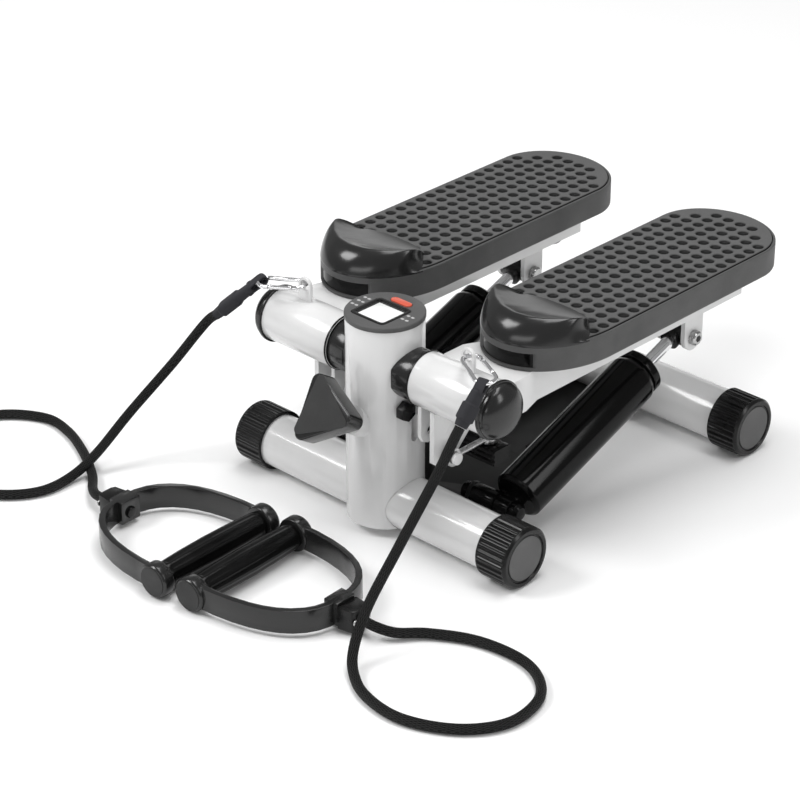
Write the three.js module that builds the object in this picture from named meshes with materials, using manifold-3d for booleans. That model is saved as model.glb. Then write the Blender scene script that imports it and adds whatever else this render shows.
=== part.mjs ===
// Mini stepper with two resistance cords.  Millimetres, +Z up, floor at z = 0.
// +Y is the heel end of the pedals, -Y the console end, the machine is mirrored across x = 0.
import * as THREE from 'three';
import { mergeVertices } from 'three/addons/utils/BufferGeometryUtils.js';
import Module from 'manifold-3d';

const wasm = await Module();
wasm.setup();

// ---------------------------------------------------------------- driving sizes
const GAP = 0.3;                 // running gap between touching pieces
const ORIGIN = [10.1, -75.3, 0]; // shifts the post foot so that the set is centred on the frame
const TUBE_R = 25;               // floor tubes and pivot tubes
const CAP_R = 28.4;              // foot caps, which carry the machine
const HALF_WIDTH = 167;          // outer faces of the foot caps
const CAP_LENGTH = 33.4;
const WHEELBASE = 319;           // front floor tube to rear floor tube
const POST_R = 35;
const POST_FOOT = 9.3;
const POST_TOP = 204;
const CONSOLE_R = 35.7;
const CONSOLE_TOP = 208.5;
const PIVOT_Z = 160;
const SHAFT_R = 10;
const PIVOT_IN = 48.4;           // pivot tube ends, measured from the centre plane
const PIVOT_OUT = 129.4;
const PEDAL_X = 97.6;
const PEDAL_HALF = 59.2;
const PEDAL_NOSE = 37.7;
const PEDAL_HEEL = 384;
const PEDAL_UNDER = 176;
const PEDAL_DECK = 199;
const TREAD_TOP = 202;
const TREAD_FRONT = 113;
const TOE_TOP = 223;
const ARM_UNDER = 142;
const EYE_LOW = [52, 29];        // lower cylinder eye, (y, z)
const EYE_HIGH = [287, 117];     // upper cylinder eye, (y, z)
const BARREL_R = 24;
const ROD_R = 6;
const LEVER_PIN_Z = 95;
const ROCKER_Y = 47;
const ROCKER_Z = [75, 90.5];
const ROCKER_PIN_X = 80;
const KNOB_TILT = 32;            // knob axis above the horizontal, degrees
const KNOB_FACE = [0, -80, 141.5];
const LUG_Z = 199.5;             // carabiner hole over the pivot tube
const GRIP_Z = 16;
const CORD_R = 4.5;

// ---------------------------------------------------------------- finishes
const finish = (color, roughness, metalness) =>
  new THREE.MeshStandardMaterial({ color, roughness, metalness });
const WHITE = finish(0xeeeeec, 0.25, 0.0);
const BLACK = finish(0x101011, 0.35, 0.0);
const GLOSS = finish(0x0c0c0d, 0.12, 0.0);
const GREY = finish(0x6a6a6b, 0.55, 0.0);
const CHROME = finish(0xd8d8da, 0.12, 1.0);
const STEEL = finish(0x9a9a9c, 0.35, 1.0);
const DARK_PAINT = finish(0x3a3a3b, 0.45, 0.2);
const RED = finish(0xd8452f, 0.4, 0.0);
const LCD = finish(0xd9dcd6, 0.2, 0.0);
const RUBBER = finish(0x171717, 0.8, 0.0);
const WEBBING = finish(0x18181a, 0.9, 0.0);

// ---------------------------------------------------------------- solid helpers
const weld = (geometry) => {
  const plain = geometry.index ? geometry.toNonIndexed() : geometry.clone();
  for (const name of ['normal', 'uv']) plain.deleteAttribute(name);
  return mergeVertices(plain, 1e-3);
};
const solid = (geometry) => {
  const welded = weld(geometry);
  return new wasm.Manifold(new wasm.Mesh({
    numProp: 3,
    vertProperties: new Float32Array(welded.attributes.position.array),
    triVerts: new Uint32Array(welded.index.array),
  }));
};
const geometryOf = (manifold) => {
  const mesh = manifold.getMesh();
  const geometry = new THREE.BufferGeometry();
  geometry.setAttribute('position', new THREE.BufferAttribute(new Float32Array(mesh.vertProperties), 3));
  geometry.setIndex(new THREE.BufferAttribute(new Uint32Array(mesh.triVerts), 1));
  geometry.computeVertexNormals();
  return geometry;
};
const join = (...parts) => parts.reduce((sum, part) => sum.add(part));
const cut = (body, ...tools) => tools.reduce((rest, tool) => rest.subtract(tool), body);

const block = (x0, x1, y0, y1, z0, z1) => solid(
  new THREE.BoxGeometry(x1 - x0, y1 - y0, z1 - z0)
    .translate((x0 + x1) / 2, (y0 + y1) / 2, (z0 + z1) / 2));

// A turned piece: (radius, along) pairs from end to end, closed on the axis, lying on +Y first.
const turned = (profile, segments = 32) => {
  const points = profile.map(([r, t]) => new THREE.Vector2(r, t));
  return new THREE.LatheGeometry(points, segments);
};
const rod = (radius, from, to, segments = 24) =>
  turned([[0, from], [radius, from], [radius, to], [0, to]], segments);
const alongX = (geometry, y = 0, z = 0) => geometry.rotateZ(-Math.PI / 2).translate(0, y, z);
const alongZ = (geometry, x = 0, y = 0) => geometry.rotateX(Math.PI / 2).translate(x, y, 0);
const xRod = (radius, x0, x1, y, z, segments) => solid(alongX(rod(radius, x0, x1, segments), y, z));
const zRod = (radius, z0, z1, x, y, segments) => solid(alongZ(rod(radius, z0, z1, segments), x, y));

const outline = (points) => new THREE.Shape(points.map(([a, b]) => new THREE.Vector2(a, b)));
// Outline in (x, y), raised from z0 to z1.
const slab = (points, z0, z1, bevel = 0) => {
  const shape = Array.isArray(points) ? outline(points) : points;
  return new THREE.ExtrudeGeometry(shape, {
    depth: z1 - z0 - 2 * bevel, curveSegments: 12, bevelEnabled: bevel > 0,
    bevelThickness: bevel, bevelSize: bevel, bevelOffset: -bevel, bevelSegments: 2,
  }).translate(0, 0, z0 + bevel);
};
// Outline in (y, z), widened from x0 to x1.
const sidePlate = (points, x0, x1) => solid(
  new THREE.ExtrudeGeometry(outline(points), { depth: x1 - x0, bevelEnabled: false })
    .rotateX(Math.PI / 2).rotateZ(Math.PI / 2).translate(x0, 0, 0));

const mesh = (name, source, material) => {
  const geometry = source.getMesh ? geometryOf(source) : source;
  const piece = new THREE.Mesh(geometry, material);
  piece.name = name;
  return piece;
};
const assembly = (name, ...children) => {
  const holder = new THREE.Group();
  holder.name = name;
  if (children.length) holder.add(...children);
  return holder;
};
const mirrored = (geometry, side) => {
  if (side > 0) return geometry;
  const flipped = geometry.index ? geometry.toNonIndexed() : geometry.clone();
  const { position } = flipped.attributes;
  for (let i = 0; i < position.count; i += 3) {
    for (let k = 0; k < 3; k += 1) position.setX(i + k, -position.getX(i + k));
    const swap = [position.getX(i + 1), position.getY(i + 1), position.getZ(i + 1)];
    position.setXYZ(i + 1, position.getX(i + 2), position.getY(i + 2), position.getZ(i + 2));
    position.setXYZ(i + 2, ...swap);
  }
  const welded = weld(flipped);
  welded.computeVertexNormals();
  return welded;
};

// ---------------------------------------------------------------- base frame
const tubeEnd = HALF_WIDTH - 15;
const postCut = zRod(POST_R + GAP, 0, 210, 0, 0, 56);
const frontTubeCut = xRod(TUBE_R + GAP, -60, 60, 0, CAP_R, 44);

function floorTube(name, y) {
  return mesh(name, alongX(rod(TUBE_R, -tubeEnd, tubeEnd, 44), y, CAP_R), WHITE);
}

function footCap(name, side, y) {
  const inner = HALF_WIDTH - CAP_LENGTH;
  const profile = [
    [TUBE_R + GAP, inner], [CAP_R, inner], [CAP_R, HALF_WIDTH - 2], [CAP_R - 2, HALF_WIDTH],
    [22.5, HALF_WIDTH], [22.5, HALF_WIDTH - 1.5], [21, HALF_WIDTH - 1.5], [21, HALF_WIDTH],
    [0, HALF_WIDTH], [0, tubeEnd + GAP], [TUBE_R + GAP, tubeEnd + GAP], [TUBE_R + GAP, inner],
  ];
  return mesh(name, mirrored(alongX(turned(profile, 32), y, CAP_R), side), BLACK);
}

function basePlate() {
  const front = 20;
  const rear = WHEELBASE - 19;
  const pan = solid(slab([[-62, front], [62, front], [62, 96], [36, 150], [36, rear],
    [-36, rear], [-36, 150], [-62, 96]], 9.3, 13.3));
  const ears = [-1, 1].map((side) => {
    const ear = sidePlate([[36, 12], [70, 12], [63, 30], [58, 38], [52, 40.5], [46, 38], [41, 30]],
      side > 0 ? 58 : -62, side > 0 ? 62 : -58);
    return ear.subtract(xRod(5.3, side > 0 ? 50 : -70, side > 0 ? 70 : -50, ...EYE_LOW));
  });
  const rails = [-1, 1].map((side) => block(side > 0 ? 32 : -36, side > 0 ? 36 : -32, 152, rear, 12, 26));
  const stand = zRod(13, 12, ROCKER_Z[0] - GAP, 0, ROCKER_Y, 24);
  const boltHole = zRod(5.3, 45, 90, 0, ROCKER_Y, 18);
  const coves = [0, WHEELBASE].map((y) => xRod(TUBE_R + GAP, -90, 90, y, CAP_R, 44));
  const plate = cut(join(pan, ...ears, ...rails, stand), boltHole, postCut, ...coves);
  return mesh('base_plate', plate, DARK_PAINT);
}

function rockerBolt() {
  const seat = ROCKER_Z[1] + GAP;
  const profile = [[0, 46], [5, 46], [5, seat], [9, seat], [9, 96], [7.5, 97.5], [0, 97.5]];
  return mesh('rocker_bolt', alongZ(turned(profile, 18), 0, ROCKER_Y), STEEL);
}

// ---------------------------------------------------------------- post and console
const tilt = THREE.MathUtils.degToRad(KNOB_TILT);
// Turns a piece built on +Y (back to front of the knob) onto the leaning knob axis.
const onKnobAxis = (geometry) => geometry.rotateX(-tilt).translate(...KNOB_FACE);

function post() {
  const shell = zRod(POST_R, POST_FOOT, POST_TOP - GAP, 0, 0, 56);
  const boss = solid(onKnobAxis(rod(13, 45, 68, 24)));
  const threadHole = solid(onKnobAxis(rod(5.6, 30, 72, 18)));
  const slots = [-1, 1].map((side) => {
    const [x0, x1] = side > 0 ? [27, 40] : [-40, -27];
    const ends = [97, 114].map((z) => xRod(4.5, x0, x1, 1, z, 24));
    return join(block(x0, x1, -3.5, 5.5, 97, 114), ...ends);
  });
  const shaftHole = xRod(SHAFT_R + GAP, -60, 60, 0, PIVOT_Z, 32);
  const boltHoles = [xRod(4.3, 20, 60, -12.8, 128.2, 24)];
  const body = cut(join(shell, boss), frontTubeCut, threadHole, ...slots, shaftHole, ...boltHoles);
  return mesh('post', body, WHITE);
}

function sideBolt() {
  const shank = xRod(4, 22, 40, -12.8, 128.2, 24);
  const head = solid(alongX(rod(9, 33, 41, 6), -12.8, 128.2));
  return mesh('post_side_bolt', cut(join(head, shank), cut(zRod(POST_R + GAP, 100, 150, 0, 0, 56),
    xRod(4.1, 20, 60, -12.8, 128.2, 24))), BLACK);
}

const windowX = [-18, 16];
const windowY = [-20, 12];
function consoleHead() {
  const profile = [[0, POST_TOP], [CONSOLE_R, POST_TOP], [CONSOLE_R, CONSOLE_TOP - 0.8],
    [CONSOLE_R - 0.8, CONSOLE_TOP], [0, CONSOLE_TOP]];
  const disc = solid(alongZ(turned(profile, 56)));
  const window = block(...windowX, ...windowY, CONSOLE_TOP - 3.2, CONSOLE_TOP + 2);
  const well = join(block(-7.5, 7.5, 16.3, 24.7, POST_TOP + 1.2, CONSOLE_TOP + 2),
    zRod(4.2, POST_TOP + 1.2, CONSOLE_TOP + 2, -7.5, 20.5, 24),
    zRod(4.2, POST_TOP + 1.2, CONSOLE_TOP + 2, 7.5, 20.5, 24));
  return mesh('console_housing', cut(disc, window, well), GREY);
}

function consoleLcd() {
  const low = CONSOLE_TOP - 3.2 + GAP;
  return mesh('console_lcd', slab([[windowX[0] + 2, windowY[0] + 2], [windowX[1] - 2, windowY[0] + 2],
    [windowX[1] - 2, windowY[1] - 2], [windowX[0] + 2, windowY[1] - 2]], low, low + 1.2), LCD);
}

function consoleButton() {
  const shape = new THREE.Shape();
  shape.absarc(7.5, 20.5, 3.8, -Math.PI / 2, Math.PI / 2, false);
  shape.absarc(-7.5, 20.5, 3.8, Math.PI / 2, 1.5 * Math.PI, false);
  return mesh('console_button', slab(shape, POST_TOP + 2.6, CONSOLE_TOP + 1, 0.6), RED);
}

// ---------------------------------------------------------------- knob
function knobShape(reach, corner) {
  const shape = new THREE.Shape();
  const centre = reach - corner;
  for (let i = 0; i < 3; i += 1) {
    const middle = THREE.MathUtils.degToRad(120 * i - 4);
    const [cx, cy] = [centre * Math.cos(middle), centre * Math.sin(middle)];
    shape.absarc(cx, cy, corner, middle - Math.PI / 3, middle + Math.PI / 3, false);
  }
  return shape;
}

function knob() {
  const plate = new THREE.ExtrudeGeometry(knobShape(33.5, 7), {
    depth: 17, bevelEnabled: true, bevelThickness: 1.5, bevelSize: 1.5, bevelOffset: -1.5,
    bevelSegments: 3, curveSegments: 10,
  }).rotateX(-Math.PI / 2).translate(0, 1.5, 0);
  const neck = rod(11, 15, 32, 24);
  const bore = rod(5.3, 22, 40, 18);
  return mesh('knob', onKnobAxisPiece(cut(join(solid(plate), solid(neck)), solid(bore))), GLOSS);
}
const onKnobAxisPiece = (manifold) => onKnobAxis(geometryOf(manifold));

function knobScrew() {
  return mesh('knob_screw', onKnobAxis(rod(5, 22 + GAP, 66, 18)), STEEL);
}

// ---------------------------------------------------------------- pivot shaft and one side
function pivotShaft() {
  const half = PIVOT_OUT - 4;
  return mesh('pivot_shaft', alongX(rod(SHAFT_R, -half, half, 32), 0, PIVOT_Z), STEEL);
}

function innerSleeve(tag, side) {
  const collar = cut(xRod(23.5, 20, PIVOT_IN - GAP, 0, PIVOT_Z, 44),
    zRod(POST_R + GAP, 100, 210, 0, 0, 56), xRod(SHAFT_R + GAP, 0, 60, 0, PIVOT_Z, 32),
    block(0, 30, -40, -21.9, 100, 210));
  return mesh(`pivot_sleeve_${tag}`, mirrored(geometryOf(collar), side), BLACK);
}

function pivotTube(tag, side) {
  const body = solid(alongX(turned([[SHAFT_R + GAP, PIVOT_IN], [TUBE_R, PIVOT_IN], [TUBE_R, PIVOT_OUT],
    [SHAFT_R + GAP, PIVOT_OUT], [SHAFT_R + GAP, PIVOT_IN]], 44), 0, PIVOT_Z));
  const lug = join(block(PEDAL_X - 7.5, PEDAL_X + 7.5, -1.5, 1.5, PIVOT_Z + TUBE_R - 3, LUG_Z),
    solid(rod(7.5, -1.5, 1.5, 24).translate(PEDAL_X, 0, LUG_Z)));
  const hole = solid(rod(5, -5, 5, 24).translate(PEDAL_X, 0, LUG_Z));
  return mesh(`pivot_tube_${tag}`, mirrored(geometryOf(cut(join(body, lug), hole)), side), WHITE);
}

function pivotCap(tag, side) {
  const x0 = PIVOT_OUT + GAP;
  const profile = [[0, x0], [27, x0], [27, x0 + 3.2], [25.5, x0 + 3.8], [24, x0 + 8], [20.5, x0 + 12.5],
    [14, x0 + 16], [7, x0 + 17.6], [0, x0 + 18]];
  return mesh(`pivot_cap_${tag}`, mirrored(alongX(turned(profile, 40), 0, PIVOT_Z), side), GLOSS);
}

function arm(tag, side) {
  const inner = PEDAL_X - 24;
  const outer = PEDAL_X + 24;
  const top = PEDAL_UNDER - GAP;
  const plan = [[PIVOT_IN + 1, 8], [PIVOT_OUT - 1, 8], [PIVOT_OUT - 1, 40], [outer, 62], [outer, 348],
    [inner, 348], [inner, 94], [PIVOT_IN + 1, 46]];
  const beam = solid(slab(plan, ARM_UNDER, top));
  const leverPlan = [[-15, 145], [-15, 90], [-9, 85], [8, 85], [32, 109], [36, 144], [20, 144]];
  const lever = sidePlate(leverPlan, 67.5, 72.5);
  const lugPlate = sidePlate([[-12, 145], [-12, 109], [-9, 103], [-3, 100.5], [4, 102], [10, 108], [36, 144],
    [20, 144]], 50.5, 54.5);
  const pinHead = join(xRod(3, 70, 85, 0, LEVER_PIN_Z, 24), xRod(5.5, 84.5, 87.5, 0, LEVER_PIN_Z, 24));
  const [eyeY, eyeZ] = EYE_HIGH;
  const ears = [[-17.5, -13], [13, 17.5]].map(([a, b]) => join(
    block(PEDAL_X + a, PEDAL_X + b, eyeY - 13, eyeY + 13, eyeZ, ARM_UNDER + 1),
    xRod(13, PEDAL_X + a, PEDAL_X + b, eyeY, eyeZ, 24)));
  const tools = [xRod(TUBE_R + GAP, 30, 140, 0, PIVOT_Z, 44), xRod(4.3, 70, 130, eyeY, eyeZ, 18),
    xRod(4.2, 45, 60, 0, 112, 24)];
  const body = cut(join(beam, lever, lugPlate, pinHead, ...ears), ...tools);
  return mesh(`arm_${tag}`, mirrored(geometryOf(body), side), WHITE);
}

// Plan outline of a pedal: blunt rounded nose, straight flanks, round heel.
function pedalPlan(inset, y0 = -Infinity, y1 = Infinity) {
  const half = PEDAL_HALF - inset;
  const nose = 80;
  const heel = 52;
  const points = [];
  for (let i = 0; i <= 18; i += 1) {
    const a = -Math.PI / 2 + (Math.PI * i) / 18;
    points.push([half * Math.sin(a), PEDAL_NOSE + nose - (nose - inset) * Math.cos(a)]);
  }
  for (let i = 0; i <= 18; i += 1) {
    const a = Math.PI / 2 - (Math.PI * i) / 18;
    points.push([half * Math.sin(a), PEDAL_HEEL - heel + (heel - inset) * Math.cos(a)]);
  }
  return points.filter(([, y]) => y >= y0 && y <= y1).map(([x, y]) => [PEDAL_X + x, y]);
}

function pedal(tag, side) {
  return mesh(`pedal_${tag}`, mirrored(slab(pedalPlan(0), PEDAL_UNDER, PEDAL_DECK, 1), side), GREY);
}

function tread(tag, side) {
  const sheet = solid(slab(pedalPlan(4), PEDAL_DECK + GAP, TREAD_TOP));
  const front = block(0, 200, 0, TREAD_FRONT, 190, 215);
  return mesh(`tread_${tag}`, mirrored(geometryOf(cut(sheet, front)), side), GREY);
}

function toeCup(tag, side) {
  const dome = solid(slab(pedalPlan(-1.2), PEDAL_DECK + GAP, TOE_TOP, 3));
  const back = block(0, 200, TREAD_FRONT - GAP, 500, 190, 240);
  const scoop = solid(new THREE.SphereGeometry(1, 28, 20).scale(50, 68, 31)
    .translate(PEDAL_X, TREAD_FRONT + 6, 233.5));
  return mesh(`toe_cup_${tag}`, mirrored(geometryOf(cut(dome, back, scoop)), side), GLOSS);
}

function bumper(tag, side) {
  const profile = [[0, 131], [10.5, 131], [13, 133.5], [13, ARM_UNDER - GAP], [0, ARM_UNDER - GAP]];
  return mesh(`bumper_${tag}`, mirrored(alongZ(turned(profile, 22), PEDAL_X, 330), side), RUBBER);
}

// ---------------------------------------------------------------- hydraulic cylinder of one side
const reach = Math.hypot(EYE_HIGH[0] - EYE_LOW[0], EYE_HIGH[1] - EYE_LOW[1]);
const slope = Math.atan2(EYE_HIGH[1] - EYE_LOW[1], EYE_HIGH[0] - EYE_LOW[0]);
const onCylinder = (geometry, side) => geometry.rotateX(slope).translate(side * PEDAL_X, ...EYE_LOW);

function barrel(tag, side) {
  const shell = solid(turned([[0, 14], [21, 14], [BARREL_R, 17], [BARREL_R, 181], [22, 184.5], [19.5, 185],
    [19.5, 187], [22.5, 188], [22.5, 195], [19, 198.5], [0, 198.5]], 40));
  const eye = join(block(-7, 7, 0, 16, -9, 9), solid(alongX(rod(10, -8, 8, 22))));
  const bores = [solid(rod(ROD_R + GAP, 112, 205, 18)), solid(alongX(rod(5.3, -12, 12, 18)))];
  return mesh(`barrel_${tag}`, onCylinder(geometryOf(cut(join(shell, eye), ...bores)), side), GLOSS);
}

function pistonRod(tag, side) {
  return mesh(`rod_${tag}`, onCylinder(rod(ROD_R, 150, 236 - GAP, 18), side), CHROME);
}

function rodEye(tag, side) {
  const body = join(solid(rod(9.5, 236, 246, 22)), solid(alongX(rod(11.5, -11, 11, 24), reach, 0)));
  const hole = solid(alongX(rod(7, -20, 20, 22), reach, 0));
  return mesh(`rod_eye_${tag}`, onCylinder(geometryOf(cut(body, hole)), side), RUBBER);
}

function clevisBolt(tag, side) {
  const profile = [[0, -23], [6.5, -23], [6.5, -17.8], [4, -17.8], [4, 17.8], [7, 17.8], [7, 22],
    [5.5, 23.5], [0, 23.5]];
  const bolt = alongX(turned(profile, 24), ...EYE_HIGH).translate(side * PEDAL_X, 0, 0);
  return mesh(`clevis_bolt_${tag}`, bolt, STEEL);
}

function lowerBolt(tag, side) {
  const x = PEDAL_X;
  const profile = [[0, 50], [8, 50], [8, 57.7], [5, 57.7], [5, 62.3], [11, 62.3], [11, x - 8.4],
    [5, x - 8.4], [5, x + 8.3], [9, x + 8.3], [9, x + 14], [6, x + 17.5], [0, x + 18.5]];
  return mesh(`lower_bolt_${tag}`, mirrored(alongX(turned(profile, 22), ...EYE_LOW), side), STEEL);
}

// ---------------------------------------------------------------- equaliser
function rocker() {
  const half = 96;
  const bar = solid(slab([[-half, 38], [-half + 6, 36], [-18, 35.6], [18, 35.6], [half - 6, 36], [half, 38],
    [half, 56], [half - 6, 58], [-half + 6, 58], [-half, 56]], ...ROCKER_Z));
  const pins = [-1, 1].map((side) => zRod(3.5, 88, 101, side * ROCKER_PIN_X, ROCKER_Y, 24));
  const hole = zRod(5.3, 60, 110, 0, ROCKER_Y, 18);
  return mesh('rocker', cut(join(bar, ...pins), hole), BLACK);
}

function link(tag, side) {
  const x = ROCKER_PIN_X;
  const rearEye = zRod(8, ROCKER_Z[1] + 1.2, 98.8, x, ROCKER_Y, 18);
  const frontEye = xRod(8.5, x - 3, x + 3, 0, LEVER_PIN_Z, 22);
  const shank = solid(rod(3, 7, ROCKER_Y - 6, 24).translate(x, 0, LEVER_PIN_Z));
  const body = cut(join(rearEye, frontEye, shank), zRod(4, 80, 110, x, ROCKER_Y, 18),
    xRod(5.2, x - 9, x + 9, 0, LEVER_PIN_Z, 18));
  return mesh(`link_${tag}`, mirrored(geometryOf(body), side), STEEL);
}

// ---------------------------------------------------------------- carabiners, straps and cords
const vec = (p) => new THREE.Vector3(...p);
const section = (radius, sides) => {
  const ring = [];
  for (let i = 0; i < sides; i += 1) {
    const a = (2 * Math.PI * i) / sides;
    ring.push(new THREE.Vector2(radius * Math.cos(a), radius * Math.sin(a)));
  }
  return new THREE.Shape(ring);
};
const sweep = (points, radius, sides, steps) => new THREE.ExtrudeGeometry(section(radius, sides), {
  steps, bevelEnabled: false, extrudePath: new THREE.CatmullRomCurve3(points.map(vec), false, 'centripetal'),
});

// Lies flat in its own (x, y) plane: x away from the lug, the end wire passing through the lug at 0, 0.
const HOOK_LENGTH = 44;
const HOOK_HALF = 8.5;
function hookPath() {
  const far = HOOK_LENGTH;
  return [[far - 12, HOOK_HALF + 1, 0], [far - 5, HOOK_HALF, 0], [far - 1, HOOK_HALF - 4, 0], [far, 0, 0],
    [far - 1, 4 - HOOK_HALF, 0], [far - 5, -HOOK_HALF, 0], [far / 2, -HOOK_HALF, 0], [5, 1 - HOOK_HALF, 0],
    [1, 5 - HOOK_HALF, 0], [0, 0, 0], [1, HOOK_HALF - 5, 0], [5, HOOK_HALF - 1, 0], [9, HOOK_HALF, 0]];
}
const HOOKS = {
  right: { at: [PEDAL_X, 0, LUG_Z], towards: [0.9, -0.42, -0.1] },
  left: { at: [-PEDAL_X, 0, LUG_Z], towards: [-0.9, -0.42, -0.08] },
};
const hookTurn = (tag) => {
  const along = vec(HOOKS[tag].towards).normalize();
  const normal = new THREE.Vector3(0, 0, 1).addScaledVector(along, -along.z).normalize();
  const across = new THREE.Vector3().crossVectors(normal, along);
  return new THREE.Matrix4().makeBasis(along, across, normal).setPosition(vec(HOOKS[tag].at));
};
function carabiner(tag) {
  return mesh(`carabiner_${tag}`, sweep(hookPath(), 2, 8, 30).applyMatrix4(hookTurn(tag)), CHROME);
}
function gate(tag) {
  const [from, to] = [9 + 3 * GAP, HOOK_LENGTH - 12 - 3 * GAP];
  const bar = rod(1.8, from, to, 12).rotateZ(-Math.PI / 2).rotateZ(0.043)
    .translate(0.35, HOOK_HALF - 0.4, 0);
  return mesh(`gate_${tag}`, bar.applyMatrix4(hookTurn(tag)), CHROME);
}

const STRAPS = {
  right: [[135.8, -29, 191.4], [134.1, -49.3, 164.7]],
  left: [[-142, -22, 191], [-180.3, -32, 153.6]],
};

const CORDS = {
  right: [[134, -49.5, 164.3], [133.5, -55.5, 156.5], [132.5, -73.9, 130.9], [135.2, -123.3, 83],
    [139, -168, 40], [146, -190, 13], [160, -203, 6], [186, -217, 5], [229, -221, 5], [274, -199, 5],
    [296, -165, 5], [292, -126, 5], [274, -104, 5], [246, -92, 5], [199, -96, 5], [161, -117, 5.5],
    [143, -138, 8], [131, -148.2, 13.2], [117, -149, 14]],
  left: [[-180.6, -32.1, 153.3], [-189, -34, 145.8], [-217, -55, 99], [-243, -88, 50], [-251, -124, 18],
    [-252, -150, 7], [-253, -185, 5], [-272, -214, 5], [-318, -240, 5], [-368, -238, 5],
    [-402, -205, 5], [-410, -162, 5],
    [-391, -118, 5], [-354, -95, 5], [-322, -98, 5], [-283, -113, 5], [-240, -138, 6],
    [-217, -157, 9], [-201, -166, 13], [-187.4, -166.7, 14]],
};
// A webbing sleeve from the hook to the cord, thicker in the middle.
function strap(tag) {
  const [top, foot] = STRAPS[tag].map(vec);
  const length = top.distanceTo(foot);
  const body = turned([[0, 0], [5, 0], [7, 3], [8, length * 0.45], [8, length * 0.8], [6, length * 0.84],
    [6, length], [0, length]], 24);
  const turn = new THREE.Quaternion().setFromUnitVectors(new THREE.Vector3(0, 1, 0),
    foot.clone().sub(top).normalize());
  return mesh(`strap_${tag}`, body.applyQuaternion(turn).translate(...top.toArray()), WEBBING);
}
function cord(tag) {
  return mesh(`cord_${tag}`, sweep(CORDS[tag], CORD_R, 8, 38), WEBBING);
}

// ---------------------------------------------------------------- D-handles
// Built with the grip on the local Y axis and the bow towards local +X, lying on the floor.
const GRIP_HALF = 58;
const BOW_DEPTH = 113;
const HANDLES = {
  right: { at: [-17, -156, 0], turn: 3 },
  left: { at: [-54, -162, 0], turn: 182 },
};
const seat = (piece, tag) => {
  piece.position.set(...HANDLES[tag].at);
  piece.rotation.z = THREE.MathUtils.degToRad(HANDLES[tag].turn);
  return piece;
};
function bow(tag) {
  const half = GRIP_HALF + 9;
  const band = new THREE.Shape();
  const arch = (a, b, from, to, steps = 20) => {
    for (let i = 0; i <= steps; i += 1) {
      const t = from + ((to - from) * i) / steps;
      const [c, s] = [Math.cos(t), Math.sin(t)];
      const pull = 2 / 2.5;
      band[i === 0 && from < to ? 'moveTo' : 'lineTo'](
        a * Math.sign(c) * Math.abs(c) ** pull, b * Math.sign(s) * Math.abs(s) ** pull);
    }
  };
  arch(BOW_DEPTH, half, -Math.PI / 2, Math.PI / 2);
  arch(BOW_DEPTH - 6, half - 5.5, Math.PI / 2, -Math.PI / 2);
  const hoop = solid(new THREE.ExtrudeGeometry(band, { depth: 22, bevelEnabled: false }).translate(0, 0, 5));
  const bosses = [0, Math.PI].map((end) => solid(turned([[0, GRIP_HALF + 0.6], [15.2, GRIP_HALF + 0.6],
    [15.9, GRIP_HALF + 2], [15.9, GRIP_HALF + 11], [14.5, GRIP_HALF + 13], [0, GRIP_HALF + 13]], 28)
    .rotateZ(end).translate(0, 0, GRIP_Z)));
  const stub = solid(rod(5, -GRIP_HALF - 4, GRIP_HALF + 4, 18).translate(0, 0, GRIP_Z));
  const lug = block(BOW_DEPTH - 12, BOW_DEPTH + 3, -11, 11, 5, 27);
  const hole = solid(alongX(rod(5.4, BOW_DEPTH - 20, BOW_DEPTH + 12, 24), 0, 14));
  return seat(mesh(`handle_bow_${tag}`, cut(join(hoop, ...bosses, stub, lug), hole), GLOSS), tag);
}
function grip(tag) {
  const profile = [[5.3, -GRIP_HALF], [11.5, -GRIP_HALF], [12, -GRIP_HALF + 6], [13.6, -20], [13.6, 20],
    [12, GRIP_HALF - 6], [11.5, GRIP_HALF], [5.3, GRIP_HALF], [5.3, -GRIP_HALF]];
  return seat(mesh(`grip_${tag}`, turned(profile, 40).translate(0, 0, GRIP_Z), RUBBER), tag);
}
function clamp(tag) {
  const body = join(solid(slab([[BOW_DEPTH + 3.4, -12], [BOW_DEPTH + 18, -10], [BOW_DEPTH + 20, -6],
    [BOW_DEPTH + 20, 6], [BOW_DEPTH + 18, 10], [BOW_DEPTH + 3.4, 12]], 3.5, 24.5)),
    solid(alongX(rod(5, BOW_DEPTH - 14, BOW_DEPTH + 6, 24), 0, 14)));
  return seat(mesh(`cord_clamp_${tag}`, body, BLACK), tag);
}

// ---------------------------------------------------------------- put together
const SIDES = [['right', 1], ['left', -1]];
const group = new THREE.Group();
group.name = 'mini_stepper';
const machine = assembly('machine');
machine.position.set(...ORIGIN);
group.add(machine);

machine.add(assembly('frame',
  floorTube('front_tube', 0), floorTube('rear_tube', WHEELBASE), basePlate(), rockerBolt(),
  ...SIDES.flatMap(([tag, side]) => [
    footCap(`foot_cap_front_${tag}`, side, 0), footCap(`foot_cap_rear_${tag}`, side, WHEELBASE),
    lowerBolt(tag, side), innerSleeve(tag, side)]),
  post(), sideBolt(), pivotShaft()));
machine.add(assembly('console', consoleHead(), consoleLcd(), consoleButton()));
machine.add(assembly('height_knob', knob(), knobScrew()));
machine.add(assembly('equaliser', rocker(), ...SIDES.map(([tag, side]) => link(tag, side))));
for (const [tag, side] of SIDES) {
  machine.add(assembly(`pedal_arm_${tag}`, pivotTube(tag, side), pivotCap(tag, side), arm(tag, side),
    pedal(tag, side), tread(tag, side), toeCup(tag, side), bumper(tag, side), clevisBolt(tag, side)));
  machine.add(assembly(`hydraulic_${tag}`, barrel(tag, side), pistonRod(tag, side), rodEye(tag, side)));
  machine.add(assembly(`resistance_cord_${tag}`, carabiner(tag), gate(tag), strap(tag), cord(tag),
    bow(tag), grip(tag), clamp(tag)));
}

export default group;
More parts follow.
